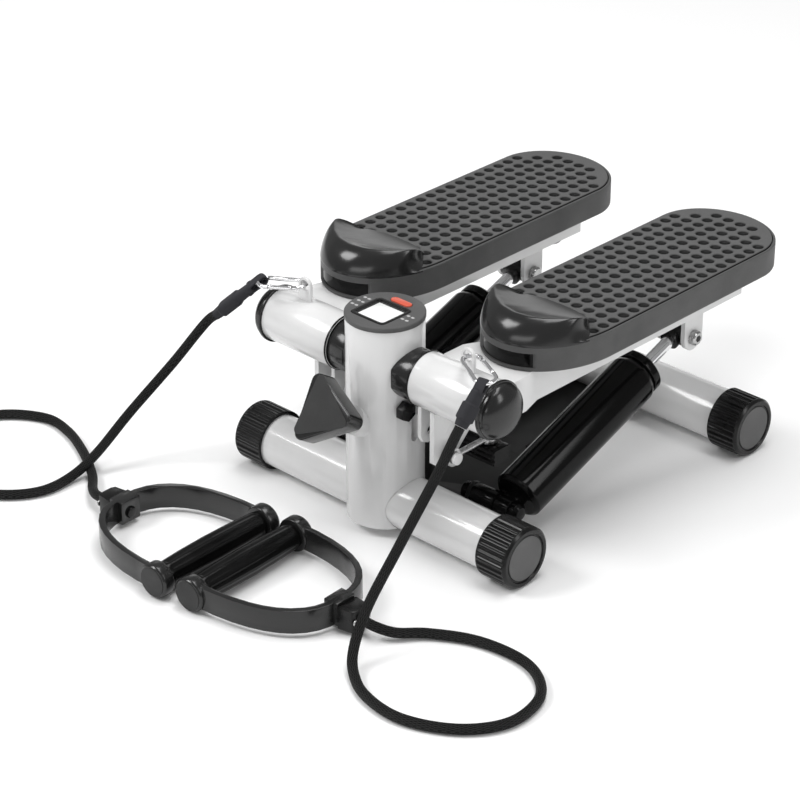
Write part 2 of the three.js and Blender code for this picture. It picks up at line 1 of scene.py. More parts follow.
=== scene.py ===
"""Visual model of a mini stepper with two resistance cords and handles.

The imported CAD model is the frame.  Every sub-assembly of the machine is a class below that keeps its
sizes in millimetres, builds its meshes as surfaces worked out with numpy and dresses them in a finish.
Machine axes: +X is the right side, +Y the heel end of the pedals, z = 0 the floor, and the foot of the
post is the origin.  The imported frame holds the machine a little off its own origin, so every length is
turned into metres and moved by the middle of the front tube.
"""

import logging
import math
from dataclasses import dataclass, field
from enum import Enum

import bmesh
import bpy
import numpy as np
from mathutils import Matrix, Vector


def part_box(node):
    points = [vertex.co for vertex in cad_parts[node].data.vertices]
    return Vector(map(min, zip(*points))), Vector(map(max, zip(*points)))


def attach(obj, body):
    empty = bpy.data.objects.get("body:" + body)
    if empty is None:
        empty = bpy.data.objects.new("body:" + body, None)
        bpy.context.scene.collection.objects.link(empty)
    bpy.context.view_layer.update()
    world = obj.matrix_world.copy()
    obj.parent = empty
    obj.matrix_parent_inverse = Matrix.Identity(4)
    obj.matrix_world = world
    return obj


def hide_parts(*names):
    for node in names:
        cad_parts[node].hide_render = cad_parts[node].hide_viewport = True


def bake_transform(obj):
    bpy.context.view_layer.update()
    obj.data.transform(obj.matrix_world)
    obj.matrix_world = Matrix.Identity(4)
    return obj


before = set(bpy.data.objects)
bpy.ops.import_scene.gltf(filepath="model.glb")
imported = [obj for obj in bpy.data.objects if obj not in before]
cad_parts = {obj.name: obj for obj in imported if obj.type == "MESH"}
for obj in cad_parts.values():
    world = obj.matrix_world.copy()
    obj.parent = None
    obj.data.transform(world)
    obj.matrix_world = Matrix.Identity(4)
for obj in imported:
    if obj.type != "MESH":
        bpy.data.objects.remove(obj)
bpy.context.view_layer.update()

LOG = logging.getLogger("stepper")
MM = 0.001
SIDES: dict[str, int] = {"right": 1, "left": -1}

Vec = tuple[float, float, float]
Array = np.ndarray


def machine_origin() -> Array:
    """The foot of the post in the row frame, in metres: the middle of the front tube, on the floor."""
    low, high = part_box("front_tube")
    return np.array([(low[0] + high[0]) / 2, (low[1] + high[1]) / 2, 0.0])


ORIGIN = machine_origin()


def placed(points: Array | Vec) -> Array:
    """Machine millimetres to row-frame metres.

    Args:
        points: one point or an array of points, in millimetres.

    Returns:
        The same points in metres, moved by the machine's origin.
    """
    return np.asarray(points, float) * MM + ORIGIN


# ------------------------------------------------------------------------------ shader expressions
class Number:
    """A number that varies over a surface: one shader socket with arithmetic on it."""

    def __init__(self, graph: "Graph", socket: bpy.types.NodeSocket) -> None:
        """Wraps a socket of a graph."""
        self.graph = graph
        self.socket = socket

    def _math(self, operation: str, *terms: "Number | float") -> "Number":
        """One Math node over the terms."""
        node = self.graph.node("ShaderNodeMath", {"operation": operation}, dict(enumerate(terms)))
        return Number(self.graph, node.outputs[0])

    def __add__(self, other: "Number | float") -> "Number":
        """Sum."""
        return self._math("ADD", self, other)

    __radd__ = __add__

    def __sub__(self, other: "Number | float") -> "Number":
        """Difference."""
        return self._math("SUBTRACT", self, other)

    def __rsub__(self, other: float) -> "Number":
        """Difference from a plain number."""
        return self._math("SUBTRACT", other, self)

    def __mul__(self, other: "Number | float") -> "Number":
        """Product."""
        return self._math("MULTIPLY", self, other)

    __rmul__ = __mul__

    def sine(self) -> "Number":
        """Sine of the value in radians."""
        return self._math("SINE", self)

    def absolute(self) -> "Number":
        """Size without sign."""
        return self._math("ABSOLUTE", self)

    def greatest(self, other: "Number | float") -> "Number":
        """The larger of two values."""
        return self._math("MAXIMUM", self, other)

    def ramp(self, low: float, high: float, to_low: float = 0.0, to_high: float = 1.0) -> "Number":
        """Smoothly carries low..high to to_low..to_high.

        Args:
            low: input where the output starts.
            high: input where the output ends.
            to_low: output at low.
            to_high: output at high.

        Returns:
            The eased value.
        """
        node = self.graph.node("ShaderNodeMapRange", {"interpolation_type": "SMOOTHSTEP"},
                               {0: self, 1: low, 2: high, 3: to_low, 4: to_high})
        return Number(self.graph, node.outputs[0])


class Graph:
    """The node graph of one material."""

    def __init__(self, name: str) -> None:
        """Starts an empty material with its output node."""
        self.material = bpy.data.materials.new(name)
        self.material.use_nodes = True
        self.tree = self.material.node_tree
        self.tree.nodes.clear()
        self.output = self.tree.nodes.new("ShaderNodeOutputMaterial")

    def node(self, kind: str, settings: dict | None = None, inputs: dict | None = None) -> bpy.types.Node:
        """Adds one node.

        Args:
            kind: Blender's type name of the node.
            settings: the node's own settings, which are set first.
            inputs: values or links by socket name or number.

        Returns:
            The node.
        """
        made = self.tree.nodes.new(kind)
        for key, value in (settings or {}).items():
            setattr(made, key, value)
        for key, value in (inputs or {}).items():
            socket = made.inputs[key]
            if isinstance(value, Number):
                self.tree.links.new(value.socket, socket)
            elif isinstance(value, bpy.types.NodeSocket):
                self.tree.links.new(value, socket)
            else:
                socket.default_value = value
        return made

    def place(self, scale: Vec = (1.0, 1.0, 1.0), turn: Vec = (0.0, 0.0, 0.0),
              uv: bool = False) -> bpy.types.NodeSocket:
        """Coordinates of the surface, in metres.

        Args:
            scale: factor on each axis.
            turn: rotation on each axis, in radians.
            uv: whether the piece's own UV map is read rather than its place in the object.

        Returns:
            The vector socket.
        """
        source = self.node("ShaderNodeTexCoord").outputs["UV" if uv else "Object"]
        return self.node("ShaderNodeMapping", None,
                         {"Vector": source, "Scale": scale, "Rotation": turn}).outputs[0]

    def noise(self, scale: float, detail: float = 3.0, stretch: Vec = (1.0, 1.0, 1.0),
              uv: bool = False) -> Number:
        """Cloud noise, 0 to 1, of the given scale per metre."""
        made = self.node("ShaderNodeTexNoise", None,
                         {"Vector": self.place(stretch, uv=uv), "Scale": scale, "Detail": detail})
        return Number(self, made.outputs[0])

    def tint(self, factor: "Number | float", first: Vec, second: Vec) -> bpy.types.NodeSocket:
        """A colour between two, by a factor."""
        made = self.node("ShaderNodeMix", {"data_type": "RGBA"},
                         {0: factor, 6: (*first, 1.0), 7: (*second, 1.0)})
        return made.outputs[2]

    def part(self, vector: bpy.types.NodeSocket) -> tuple[Number, Number, Number]:
        """The three parts of a vector."""
        made = self.node("ShaderNodeSeparateXYZ", None, {0: vector})
        return tuple(Number(self, made.outputs[i]) for i in range(3))

    def bump(self, height: Number, distance: float, strength: float = 1.0) -> bpy.types.NodeSocket:
        """A normal from a height map, distance metres high."""
        return self.node("ShaderNodeBump", None, {"Height": height, "Distance": distance,
                                                  "Strength": strength}).outputs[0]


class Relief(Enum):
    """What the skin of a finish feels like."""

    SMOOTH = "smooth"
    PAINT = "sprayed paint"
    GRAIN = "spark grain"
    BRUSHED = "brushed metal"
    MOULDED = "moulded plastic"
    WOVEN = "woven webbing"
    BRAIDED = "braided sleeve"
    # Painted shade: this relief colours the tread near black wherever it lies more than about 1.5 mm below
    # its face, standing in for the shade inside the dimples.
    DIMPLES_PAINTED_SHADE = "dark hollows below the tread's face"


@dataclass(frozen=True)
class Finish:
    """One finish of the machine: a colour with its gloss and its relief."""

    name: str
    slot: str
    colour: Vec
    second: Vec
    roughness: float
    relief: Relief = Relief.SMOOTH
    metallic: float = 0.0
    coat: float = 0.0
    coat_roughness: float = 0.06
    # Emission strength: painted light that makes a part shine though it is no lamp (the screen).
    painted_glow: float = 0.0
    specular: float = 0.5
    index: float = 1.45

    def _relief(self, graph: Graph) -> tuple[Number, Number, float]:
        """The height map, the colour mask and the height in metres of this relief.

        Returns:
            (height, mask, distance): mask runs 0 to 1 between the two colours.
        """
        if self.relief is Relief.PAINT:
            return graph.noise(900, 2), graph.noise(14, 3).ramp(0.35, 0.75), 0.00004
        if self.relief is Relief.GRAIN:
            fine = graph.noise(2600, 2)
            return fine, (0.6 * fine + 0.4 * graph.noise(60, 3)).ramp(0.38, 0.62), 0.00012
        if self.relief is Relief.DIMPLES_PAINTED_SHADE:
            fine = graph.noise(2600, 2)
            # Painted shade: the colour mask follows height, so the dimple hollows take the near-black first
            # colour.
            _, _, height = graph.part(graph.place())
            return fine, height.ramp(0.2005, 0.20192), 0.00012
        if self.relief is Relief.BRUSHED:
            lines = graph.noise(700, 2, (0.04, 1.0, 1.0))
            return lines, lines.ramp(0.35, 0.65), 0.00003
        if self.relief is Relief.MOULDED:
            return graph.noise(700, 2), graph.noise(40, 3).ramp(0.35, 0.7), 0.00004
        if self.relief is Relief.WOVEN:
            u, v, _ = graph.part(graph.place((2400.0, 2400.0, 1.0), uv=True))
            weft = u.sine() * v.sine()
            return weft.absolute(), weft.ramp(-0.7, 0.7), 0.0004
        if self.relief is Relief.BRAIDED:
            u, v, _ = graph.part(graph.place((math.tau * 8, 950.0, 1.0), uv=True))
            strands = (u + v).sine().greatest((u - v).sine())
            return strands, strands.ramp(0.70, 1.0), 0.0006
        return graph.noise(25, 2), graph.noise(18, 3).ramp(0.3, 0.75), 0.00002

    def material(self) -> bpy.types.Material:
        """The Blender material of this finish, made once."""
        known = bpy.data.materials.get(self.name)
        if known:
            return known
        graph = Graph(self.name)
        height, mask, distance = self._relief(graph)
        smudge = graph.noise(22, 4).ramp(0.35, 0.8)
        low, high = self.roughness * 0.85, min(1.0, self.roughness * 1.25 + 0.02)
        shader = graph.node("ShaderNodeBsdfPrincipled", None, {
            "Base Color": graph.tint(mask, self.colour, self.second),
            "Roughness": low + smudge * (high - low),
            "Metallic": self.metallic,
            "Coat Weight": self.coat,
            "Coat Roughness": self.coat_roughness,
            "Specular IOR Level": self.specular,
            "IOR": self.index,
            "Normal": graph.bump(height, distance),
        })
        # Painted light: the finish's own colour is also emitted.
        if self.painted_glow:
            shader.inputs["Emission Color"].default_value = (*self.colour, 1.0)
            shader.inputs["Emission Strength"].default_value = self.painted_glow
        graph.tree.links.new(shader.outputs[0], graph.output.inputs["Surface"])
        return graph.material


def grey(value: float) -> Vec:
    """A neutral colour of one linear value."""
    return (value, value, value)


WHITE = Finish("white_gloss_paint", "white_paint", grey(0.72), grey(0.66), 0.20, Relief.PAINT, coat=0.6)
CHARCOAL = Finish("charcoal_paint", "dark_paint", grey(0.006), grey(0.010), 0.42, Relief.PAINT,
                  specular=0.2)
MOULDED = Finish("moulded_black", "black_plastic", grey(0.003), grey(0.005), 0.25, Relief.MOULDED,
                 specular=0.36)
GLOSS = Finish("gloss_black", "gloss_black", grey(0.002), grey(0.003), 0.07, Relief.MOULDED, specular=0.4,
               index=1.22)
ENAMEL = Finish("black_enamel", "black_paint", grey(0.002), grey(0.004), 0.12, Relief.PAINT, specular=0.18)
PEDAL_GREY = Finish("pedal_grey", "grey_plastic", grey(0.070), grey(0.085), 0.50, Relief.GRAIN,
                    specular=0.35)
# grey(0.006) is painted shade in the dimple hollows; grey(0.092) is the tread's own grey.
TREAD_GREY = Finish("tread_grey", "grey_plastic", grey(0.006), grey(0.092), 0.55, Relief.DIMPLES_PAINTED_SHADE,
                    specular=0.25)
DISC_GREY = Finish("cap_disc_grey", "grey_plastic", grey(0.100), grey(0.115), 0.55, Relief.GRAIN,
                   specular=0.3)
FACE_GREY = Finish("dark_face_grey", "grey_plastic", grey(0.026), grey(0.034), 0.50, Relief.GRAIN,
                   specular=0.3)
CONSOLE_GREY = Finish("console_grey", "grey_plastic", grey(0.080), grey(0.092), 0.45, Relief.GRAIN,
                      specular=0.3)
CHROME = Finish("chrome", "chrome", grey(0.82), grey(0.74), 0.10, Relief.SMOOTH, metallic=1.0)
STEEL = Finish("brushed_steel", "steel", grey(0.50), grey(0.40), 0.30, Relief.BRUSHED, metallic=1.0)
VINYL = Finish("soft_vinyl", "rubber", grey(0.003), grey(0.005), 0.20, Relief.MOULDED, specular=0.2)
RUBBER = Finish("rubber", "rubber", grey(0.006), grey(0.010), 0.60, Relief.MOULDED, specular=0.25)
WEBBING = Finish("webbing", "webbing", grey(0.003), grey(0.009), 0.75, Relief.WOVEN, specular=0.2)
BRAID = Finish("braided_cord", "webbing", grey(0.0015), grey(0.034), 0.65, Relief.BRAIDED, specular=0.2)
RED = Finish("red_button", "red_button", (0.62, 0.075, 0.04), (0.54, 0.06, 0.035), 0.34, Relief.MOULDED)
# Painted light: the LCD glows a little so that it reads white, though it is no lamp.
SCREEN = Finish("lcd_screen", "lcd", grey(0.78), (0.72, 0.74, 0.72), 0.18, Relief.SMOOTH, painted_glow=0.2)
PRINT = Finish("pale_print", "lcd", grey(0.45), grey(0.38), 0.5, Relief.SMOOTH)


# ------------------------------------------------------------------------------ surfaces
@dataclass
class Patch:
    """One sheet of surface: points in machine millimetres, faces, and a UV per point in metres."""

    points: Array
    faces: list[Array]
    uv: Array | None = None

    def mirrored(self, side: int) -> "Patch":
        """The patch on the given side: x changes sign and the faces turn round on the left."""
        if side > 0:
            return self
        return Patch(self.points * np.array([-1.0, 1.0, 1.0]), [f[:, ::-1] for f in self.faces], self.uv)


def quads(rows: int, columns: int, close_rows: bool = False, close_columns: bool = False) -> Array:
    """Faces of a grid whose point (i, j) has number i * columns + j.

    Args:
        rows: points along the first parameter.
        columns: points along the second parameter.
        close_rows: whether the last row joins the first.
        close_columns: whether the last column joins the first.

    Returns:
        An (n, 4) array of point numbers.
    """
    i = np.arange(rows if close_rows else rows - 1)[:, None]
    j = np.arange(columns if close_columns else columns - 1)[None, :]
    below, beside = (i + 1) % rows, (j + 1) % columns
    corners = [i * columns + j, below * columns + j, below * columns + beside, i * columns + beside]
    return np.stack([c + np.zeros_like(i + j) for c in corners], -1).reshape(-1, 4)


def grid_patch(grid: Array, close_rows: bool = False, close_columns: bool = False,
               uv: Array | None = None, lids: bool = False) -> Patch:
    """A patch from a (rows, columns, 3) grid of points, with flat lids on its first and last row if asked."""
    rows, columns = grid.shape[:2]
    faces = [quads(rows, columns, close_rows, close_columns)]
    if lids:
        faces += [np.arange(columns)[None, :], ((rows - 1) * columns + np.arange(columns))[None, ::-1]]
    return Patch(grid.reshape(-1, 3), faces, None if uv is None else uv.reshape(-1, 2))


def eased(corners: list[tuple[float, float]], radius: float = 0.8, steps: int = 5) -> Array:
    """A polyline with its inner corners rounded.

    Each corner becomes a parabola that leaves its two edges radius before and after the corner, and
    never further than 45% of the edge.

    Args:
        corners: the points of the line.
        radius: how far from a corner the rounding starts.
        steps: points on each rounding.

    Returns:
        The points of the rounded line.
    """
    p = np.array(corners, float)
    before, here, after = p[:-2], p[1:-1], p[2:]

    def towards(other: Array) -> Array:
        """The point on the way from each corner to the other one where the rounding starts."""
        way = other - here
        size = np.linalg.norm(way, axis=1, keepdims=True) + 1e-9
        return here + way / size * np.minimum(radius, 0.45 * size)

    t = np.linspace(0.0, 1.0, steps)[None, :, None]
    start, end = towards(before)[:, None], towards(after)[:, None]
    bends = (1 - t) ** 2 * start + 2 * t * (1 - t) * here[:, None] + t ** 2 * end
    return np.vstack([p[:1], bends.reshape(-1, 2), p[-1:]])


def basis(axis: Vec) -> Array:
    """Three rows: two directions across an axis, then the axis."""
    along = np.array(axis, float) / np.linalg.norm(axis)
    helper = np.array([0.0, 0.0, 1.0]) if abs(along[2]) < 0.9 else np.array([0.0, 1.0, 0.0])
    side = np.cross(helper, along)
    side /= np.linalg.norm(side)
    return np.array([side, np.cross(along, side), along])


def revolved(profile: Array, origin: Vec, axis: Vec, segments: int = 72, ribs: int = 0,
             rib_depth: float = 0.0, ribbed: tuple[float, float] = (0.0, 0.0),
             closed: bool = False) -> Patch:
    """A turned piece: every (radius, along) point of the profile carried round the axis.

    Point = origin + along * axis + radius * (cos a * first + sin a * second).  Between the two stations
    in ribbed the radius falls by rib_depth in the valleys, where a squared-off cosine of ribs * a is low.

    Args:
        profile: (radius, along) pairs.
        origin: the point that along is measured from.
        axis: the direction of the axis.
        segments: steps round the axis.
        ribs: number of ribs round the piece.
        rib_depth: depth of the valleys between them.
        ribbed: where along the axis the ribs run.
        closed: whether the last profile point joins the first, as on a ring.

    Returns:
        The patch.
    """
    across, up, along = basis(axis)
    radius, station = np.array(profile, float).T[:, :, None]
    angle = np.linspace(0, math.tau, segments, endpoint=False)[None, :]
    if ribs:
        wave = np.clip(1.6 * np.cos(ribs * angle) + 0.2, -1, 1)
        edge = np.clip((station - ribbed[0]) / 1.2, 0, 1) * np.clip((ribbed[1] - station) / 1.2, 0, 1)
        radius = radius - rib_depth * edge * (0.5 - 0.5 * wave) * (radius > 5)
    radius = radius + 0 * angle
    grid = (np.array(origin, float) + station[..., None] * along
            + radius[..., None] * (np.cos(angle)[..., None] * across + np.sin(angle)[..., None] * up))
    return grid_patch(grid, close_rows=closed, close_columns=True)


def through(points: list[Vec], samples: int) -> Array:
    """A smooth line through points: the centripetal Catmull-Rom spline, evenly sampled by length.

    The knots stand apart by the square root of the distance between the points, the line has one
    made-up point beyond each end, and each stretch is the usual pyramid of blends.

    Args:
        points: the points that the line passes.
        samples: how many points to return.

    Returns:
        The sampled line.
    """
    p = np.array(points, float)
    p = np.vstack([2 * p[0] - p[1], p, 2 * p[-1] - p[-2]])
    knots = np.concatenate([[0], np.cumsum(np.linalg.norm(np.diff(p, axis=0), axis=1) ** 0.5)])
    fine = np.linspace(knots[1], knots[-2], samples * 6)
    k = np.clip(np.searchsorted(knots, fine, side="right") - 1, 1, len(p) - 3)
    t0, t1, t2, t3 = (knots[k + i][:, None] for i in (-1, 0, 1, 2))
    p0, p1, p2, p3 = (p[k + i] for i in (-1, 0, 1, 2))
    t = fine[:, None]
    a1 = (t1 - t) / (t1 - t0) * p0 + (t - t0) / (t1 - t0) * p1
    a2 = (t2 - t) / (t2 - t1) * p1 + (t - t1) / (t2 - t1) * p2
    a3 = (t3 - t) / (t3 - t2) * p2 + (t - t2) / (t3 - t2) * p3
    b1 = (t2 - t) / (t2 - t0) * a1 + (t - t0) / (t2 - t0) * a2
    b2 = (t3 - t) / (t3 - t1) * a2 + (t - t1) / (t3 - t1) * a3
    line = (t2 - t) / (t2 - t1) * b1 + (t - t1) / (t2 - t1) * b2
    run = np.concatenate([[0], np.cumsum(np.linalg.norm(np.diff(line, axis=0), axis=1))])
    even = np.linspace(0, run[-1], samples)
    return np.stack([np.interp(even, run, line[:, i]) for i in range(3)], -1)


def carried(path: Array, section: Array, up: Vec = (0.0, 0.0, 1.0), closed: bool = False,
            swell: Array | None = None) -> Patch:
    """A section carried along a path.

    Point = path + first * side + second * over, where side is square to the path and to up, and over
    is square to both.  The UV is (turn round the section from 0 to 1, metres along the path).

    Args:
        path: the centreline.
        section: the closed outline of the section, as pairs.
        up: a direction that the path never follows.
        closed: whether the path is a loop.
        swell: a factor on the section at each path point.

    Returns:
        The patch, with flat lids if the path is open.
    """
    ahead = np.roll(path, -1, 0) - np.roll(path, 1, 0) if closed else np.gradient(path, axis=0)
    ahead /= np.linalg.norm(ahead, axis=1, keepdims=True)
    side = np.cross(ahead, np.array(up, float))
    side /= np.linalg.norm(side, axis=1, keepdims=True)
    over = np.cross(side, ahead)
    size = np.ones(len(path)) if swell is None else swell
    flat = section[None, :, :] * size[:, None, None]
    grid = path[:, None] + flat[..., :1] * side[:, None] + flat[..., 1:] * over[:, None]
    run = np.concatenate([[0], np.cumsum(np.linalg.norm(np.diff(path, axis=0), axis=1))]) * MM
    turn = np.abs(np.linspace(-1, 1, len(section), endpoint=False))
    uv = np.stack(np.broadcast_arrays(turn[None, :], run[:, None]), -1)
    return grid_patch(grid, close_rows=closed, close_columns=True, uv=uv, lids=not closed)


def round_section(radius: float, sides: int) -> Array:
    """A circle of points."""
    a = np.linspace(0, math.tau, sides, endpoint=False)
    return np.stack([radius * np.cos(a), radius * np.sin(a)], -1)


def soft_box(half_width: float, half_height: float, sides: int = 32, power: float = 4.0) -> Array:
    """A superellipse: |x / w| to the power + |y / h| to the power = 1, by angle."""
    a = np.linspace(0, math.tau, sides, endpoint=False)
    c, s = np.cos(a), np.sin(a)
    return np.stack([half_width * np.sign(c) * np.abs(c) ** (2 / power),
                     half_height * np.sign(s) * np.abs(s) ** (2 / power)], -1)


# ------------------------------------------------------------------------------ pieces
def add_modifier(piece: bpy.types.Object, kind: str, **settings: object) -> bpy.types.Modifier:
    """Adds a modifier with the given settings.

    Args:
        piece: the object it goes on.
        kind: Blender's type name of the modifier.
        **settings: the modifier's own settings.

    Returns:
        The modifier.
    """
    made = piece.modifiers.new(kind.title(), kind)
    for key, value in settings.items():
        setattr(made, key, value)
    return made


def make_piece(name: str, patches: list[Patch], finish: Finish, body: str | None,
               replaces: tuple[str, ...] = (),
               sharp: float = 35.0) -> bpy.types.Object:
    """Puts patches into one mesh object and dresses it.

    Args:
        name: the piece's name.
        patches: its surfaces, in machine millimetres.
        finish: what it is made of.
        body: the CAD body that it rides on, or None.
        replaces: the CAD nodes that it stands for.
        sharp: edges turned by more than this many degrees stay crisp.

    Returns:
        The object.
    """
    points = np.vstack([p.points for p in patches])
    starts = np.cumsum([0] + [len(p.points) for p in patches])
    faces = [face for p, s in zip(patches, starts) for f in p.faces for face in (f + s).tolist()]
    mesh = bpy.data.meshes.new(name)
    mesh.from_pydata(placed(points).tolist(), [], faces)
    if all(p.uv is not None for p in patches):
        uv = np.vstack([p.uv for p in patches])
        corner = np.zeros(len(mesh.loops), np.int32)
        mesh.loops.foreach_get("vertex_index", corner)
        mesh.uv_layers.new(name="UVMap").data.foreach_set("uv", uv[corner].astype(np.float32).ravel())
    work = bmesh.new()
    work.from_mesh(mesh)
    bmesh.ops.remove_doubles(work, verts=work.verts, dist=2e-6)
    bmesh.ops.dissolve_degenerate(work, edges=work.edges, dist=1e-7)
    bmesh.ops.recalc_face_normals(work, faces=work.faces)
    work.to_mesh(mesh)
    work.free()
    mesh.shade_smooth()
    mesh.set_sharp_from_angle(angle=math.radians(sharp))
    piece = bpy.data.objects.new(name, mesh)
    bpy.context.scene.collection.objects.link(piece)
    mesh.materials.append(finish.material())
    if body:
        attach(piece, body)
    if replaces:
        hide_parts(*replaces)
    LOG.info("%s: %d faces, %s", name, len(mesh.polygons), finish.name)
    return piece


def smoothing_group(angle: float) -> bpy.types.NodeTree:
    """Geometry nodes that shade faces smooth and keep edges crisp past an angle in degrees."""
    name = f"crisp_past_{angle:.0f}"
    known = bpy.data.node_groups.get(name)
    if known:
        return known
    tree = bpy.data.node_groups.new(name, "GeometryNodeTree")
    tree.interface.new_socket("Geometry", in_out="INPUT", socket_type="NodeSocketGeometry")
    tree.interface.new_socket("Geometry", in_out="OUTPUT", socket_type="NodeSocketGeometry")
    source, sink = tree.nodes.new("NodeGroupInput"), tree.nodes.new("NodeGroupOutput")
    turn = tree.nodes.new("GeometryNodeInputMeshEdgeAngle")
    limit = tree.nodes.new("FunctionNodeCompare")
    limit.data_type, limit.operation = "FLOAT", "LESS_THAN"
    limit.inputs[1].default_value = math.radians(angle)
    faces, edges = tree.nodes.new("GeometryNodeSetShadeSmooth"), tree.nodes.new("GeometryNodeSetShadeSmooth")
    edges.domain = "EDGE"
    links = tree.links
    links.new(turn.outputs[0], limit.inputs[0])
    links.new(source.outputs[0], faces.inputs[0])
    links.new(faces.outputs[0], edges.inputs[0])
    links.new(limit.outputs[0], edges.inputs["Shade Smooth"])
    links.new(edges.outputs[0], sink.inputs[0])
    return tree


def merging_group() -> bpy.types.NodeTree:
    """Geometry nodes that drop the stored normals of a loose-triangle mesh and join its doubles."""
    known = bpy.data.node_groups.get("joined_doubles")
    if known:
        return known
    tree = bpy.data.node_groups.new("joined_doubles", "GeometryNodeTree")
    tree.interface.new_socket("Geometry", in_out="INPUT", socket_type="NodeSocketGeometry")
    tree.interface.new_socket("Geometry", in_out="OUTPUT", socket_type="NodeSocketGeometry")
    source, sink = tree.nodes.new("NodeGroupInput"), tree.nodes.new("NodeGroupOutput")
    drop = tree.nodes.new("GeometryNodeRemoveAttribute")
    drop.inputs["Name"].default_value = "custom_normal"
    merge = tree.nodes.new("GeometryNodeMergeByDistance")
    merge.inputs["Distance"].default_value = 1e-5
    tree.links.new(source.outputs[0], drop.inputs[0])
    tree.links.new(drop.outputs[0], merge.inputs[0])
    tree.links.new(merge.outputs[0], sink.inputs[0])
    return tree


def dress(node: str, finish: Finish, edge: float = 0.0, sharp: float = 32.0) -> bpy.types.Object:
    """Gives a CAD node its finish, softened edges and smooth shading, by modifiers alone.

    Args:
        node: the CAD node.
        finish: what it is made of.
        edge: width of the eased edges in millimetres, or 0 for crisp ones.
        sharp: edges turned by more than this many degrees count as edges.

    Returns:
        The node's object.
    """
    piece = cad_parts[node]
    piece.data.materials.clear()
    piece.data.materials.append(finish.material())
    add_modifier(piece, "NODES", node_group=merging_group())
    if edge:
        add_modifier(piece, "BEVEL", width=edge * MM, segments=2, limit_method="ANGLE",
                      angle_limit=math.radians(sharp))
    add_modifier(piece, "NODES", node_group=smoothing_group(sharp))
    LOG.info("%s dressed in %s", node, finish.name)
    return piece


# ------------------------------------------------------------------------------ the set
@dataclass
class Studio:
    """Floor, soft lights and camera."""

    eye: Vec = (1498.45, -1548.07, 1287.33)
    tilt: float = 28.440
    heading: float = 43.725
    lens: float = 125.953
    floor_half: float = 9.0

    def camera(self) -> None:
        """The camera, looking down on the console end from the right."""
        made = bpy.data.cameras.new("camera")
        made.lens, made.sensor_width = self.lens, 36.0
        made.clip_start, made.clip_end = 0.1, 60.0
        holder = bpy.data.objects.new("camera", made)
        holder.location = placed(self.eye)
        holder.rotation_euler = (math.radians(90 - self.tilt), 0.0, math.radians(self.heading))
        bpy.context.scene.collection.objects.link(holder)
        bpy.context.scene.camera = holder

    def floor(self) -> None:
        """A plain pale floor."""
        half = self.floor_half
        mesh = bpy.data.meshes.new("floor")
        mesh.from_pydata([(-half, -half, 0), (half, -half, 0), (half, half, 0), (-half, half, 0)], [],
                         [(0, 1, 2, 3)])
        graph = Graph("pale_floor")
        shader = graph.node("ShaderNodeBsdfPrincipled", None,
                            {"Base Color": (0.95, 0.95, 0.95, 1.0), "Roughness": 0.9})
        shader.inputs["Specular IOR Level"].default_value = 0.1
        graph.tree.links.new(shader.outputs[0], graph.output.inputs["Surface"])
        mesh.materials.append(graph.material)
        plane = bpy.data.objects.new("floor", mesh)
        bpy.context.scene.collection.objects.link(plane)

    def softbox(self, name: str, place: Vec, aim: Vec, size: tuple[float, float], power: float) -> None:
        """One rectangular area light.

        Args:
            name: its name.
            place: where it hangs, in metres.
            aim: the point it looks at.
            size: width and height in metres.
            power: watts.
        """
        lamp = bpy.data.lights.new(name, "AREA")
        lamp.shape, lamp.energy = "RECTANGLE", power
        lamp.size, lamp.size_y = size
        holder = bpy.data.objects.new(name, lamp)
        way = np.array(aim) - np.array(place)
        holder.location = place
        heading = math.atan2(-way[0], way[1])
        holder.rotation_euler = (math.acos(-way[2] / np.linalg.norm(way)), 0.0, heading)
        bpy.context.scene.collection.objects.link(holder)

    def lights(self) -> None:
        """A pale room with five soft boxes."""
        world = bpy.data.worlds.new("room")
        bpy.context.scene.world = world
        world.use_nodes = True
        backdrop = world.node_tree.nodes["Background"]
        backdrop.inputs[0].default_value = (1.0, 1.0, 1.0, 1.0)
        backdrop.inputs[1].default_value = 0.34
        middle = (0.0, 0.0, 0.1)
        self.softbox("key", (-1.6, -1.9, 2.6), middle, (1.3, 1.3), 56.0)
        self.softbox("top", (0.2, 0.3, 2.8), middle, (2.2, 1.2), 46.0)
        self.softbox("fill", (2.4, 0.4, 1.7), middle, (0.6, 1.6), 15.0)
        self.softbox("front", (0.6, -2.6, 0.9), middle, (2.0, 0.5), 9.0)
        self.softbox("back", (-1.9, 2.5, 0.75), middle, (2.2, 1.0), 4.5)
        bpy.context.scene.view_settings.view_transform = "Standard"

    def build(self) -> None:
        """Sets the whole stage."""
        self.camera()
        self.floor()
        self.lights()


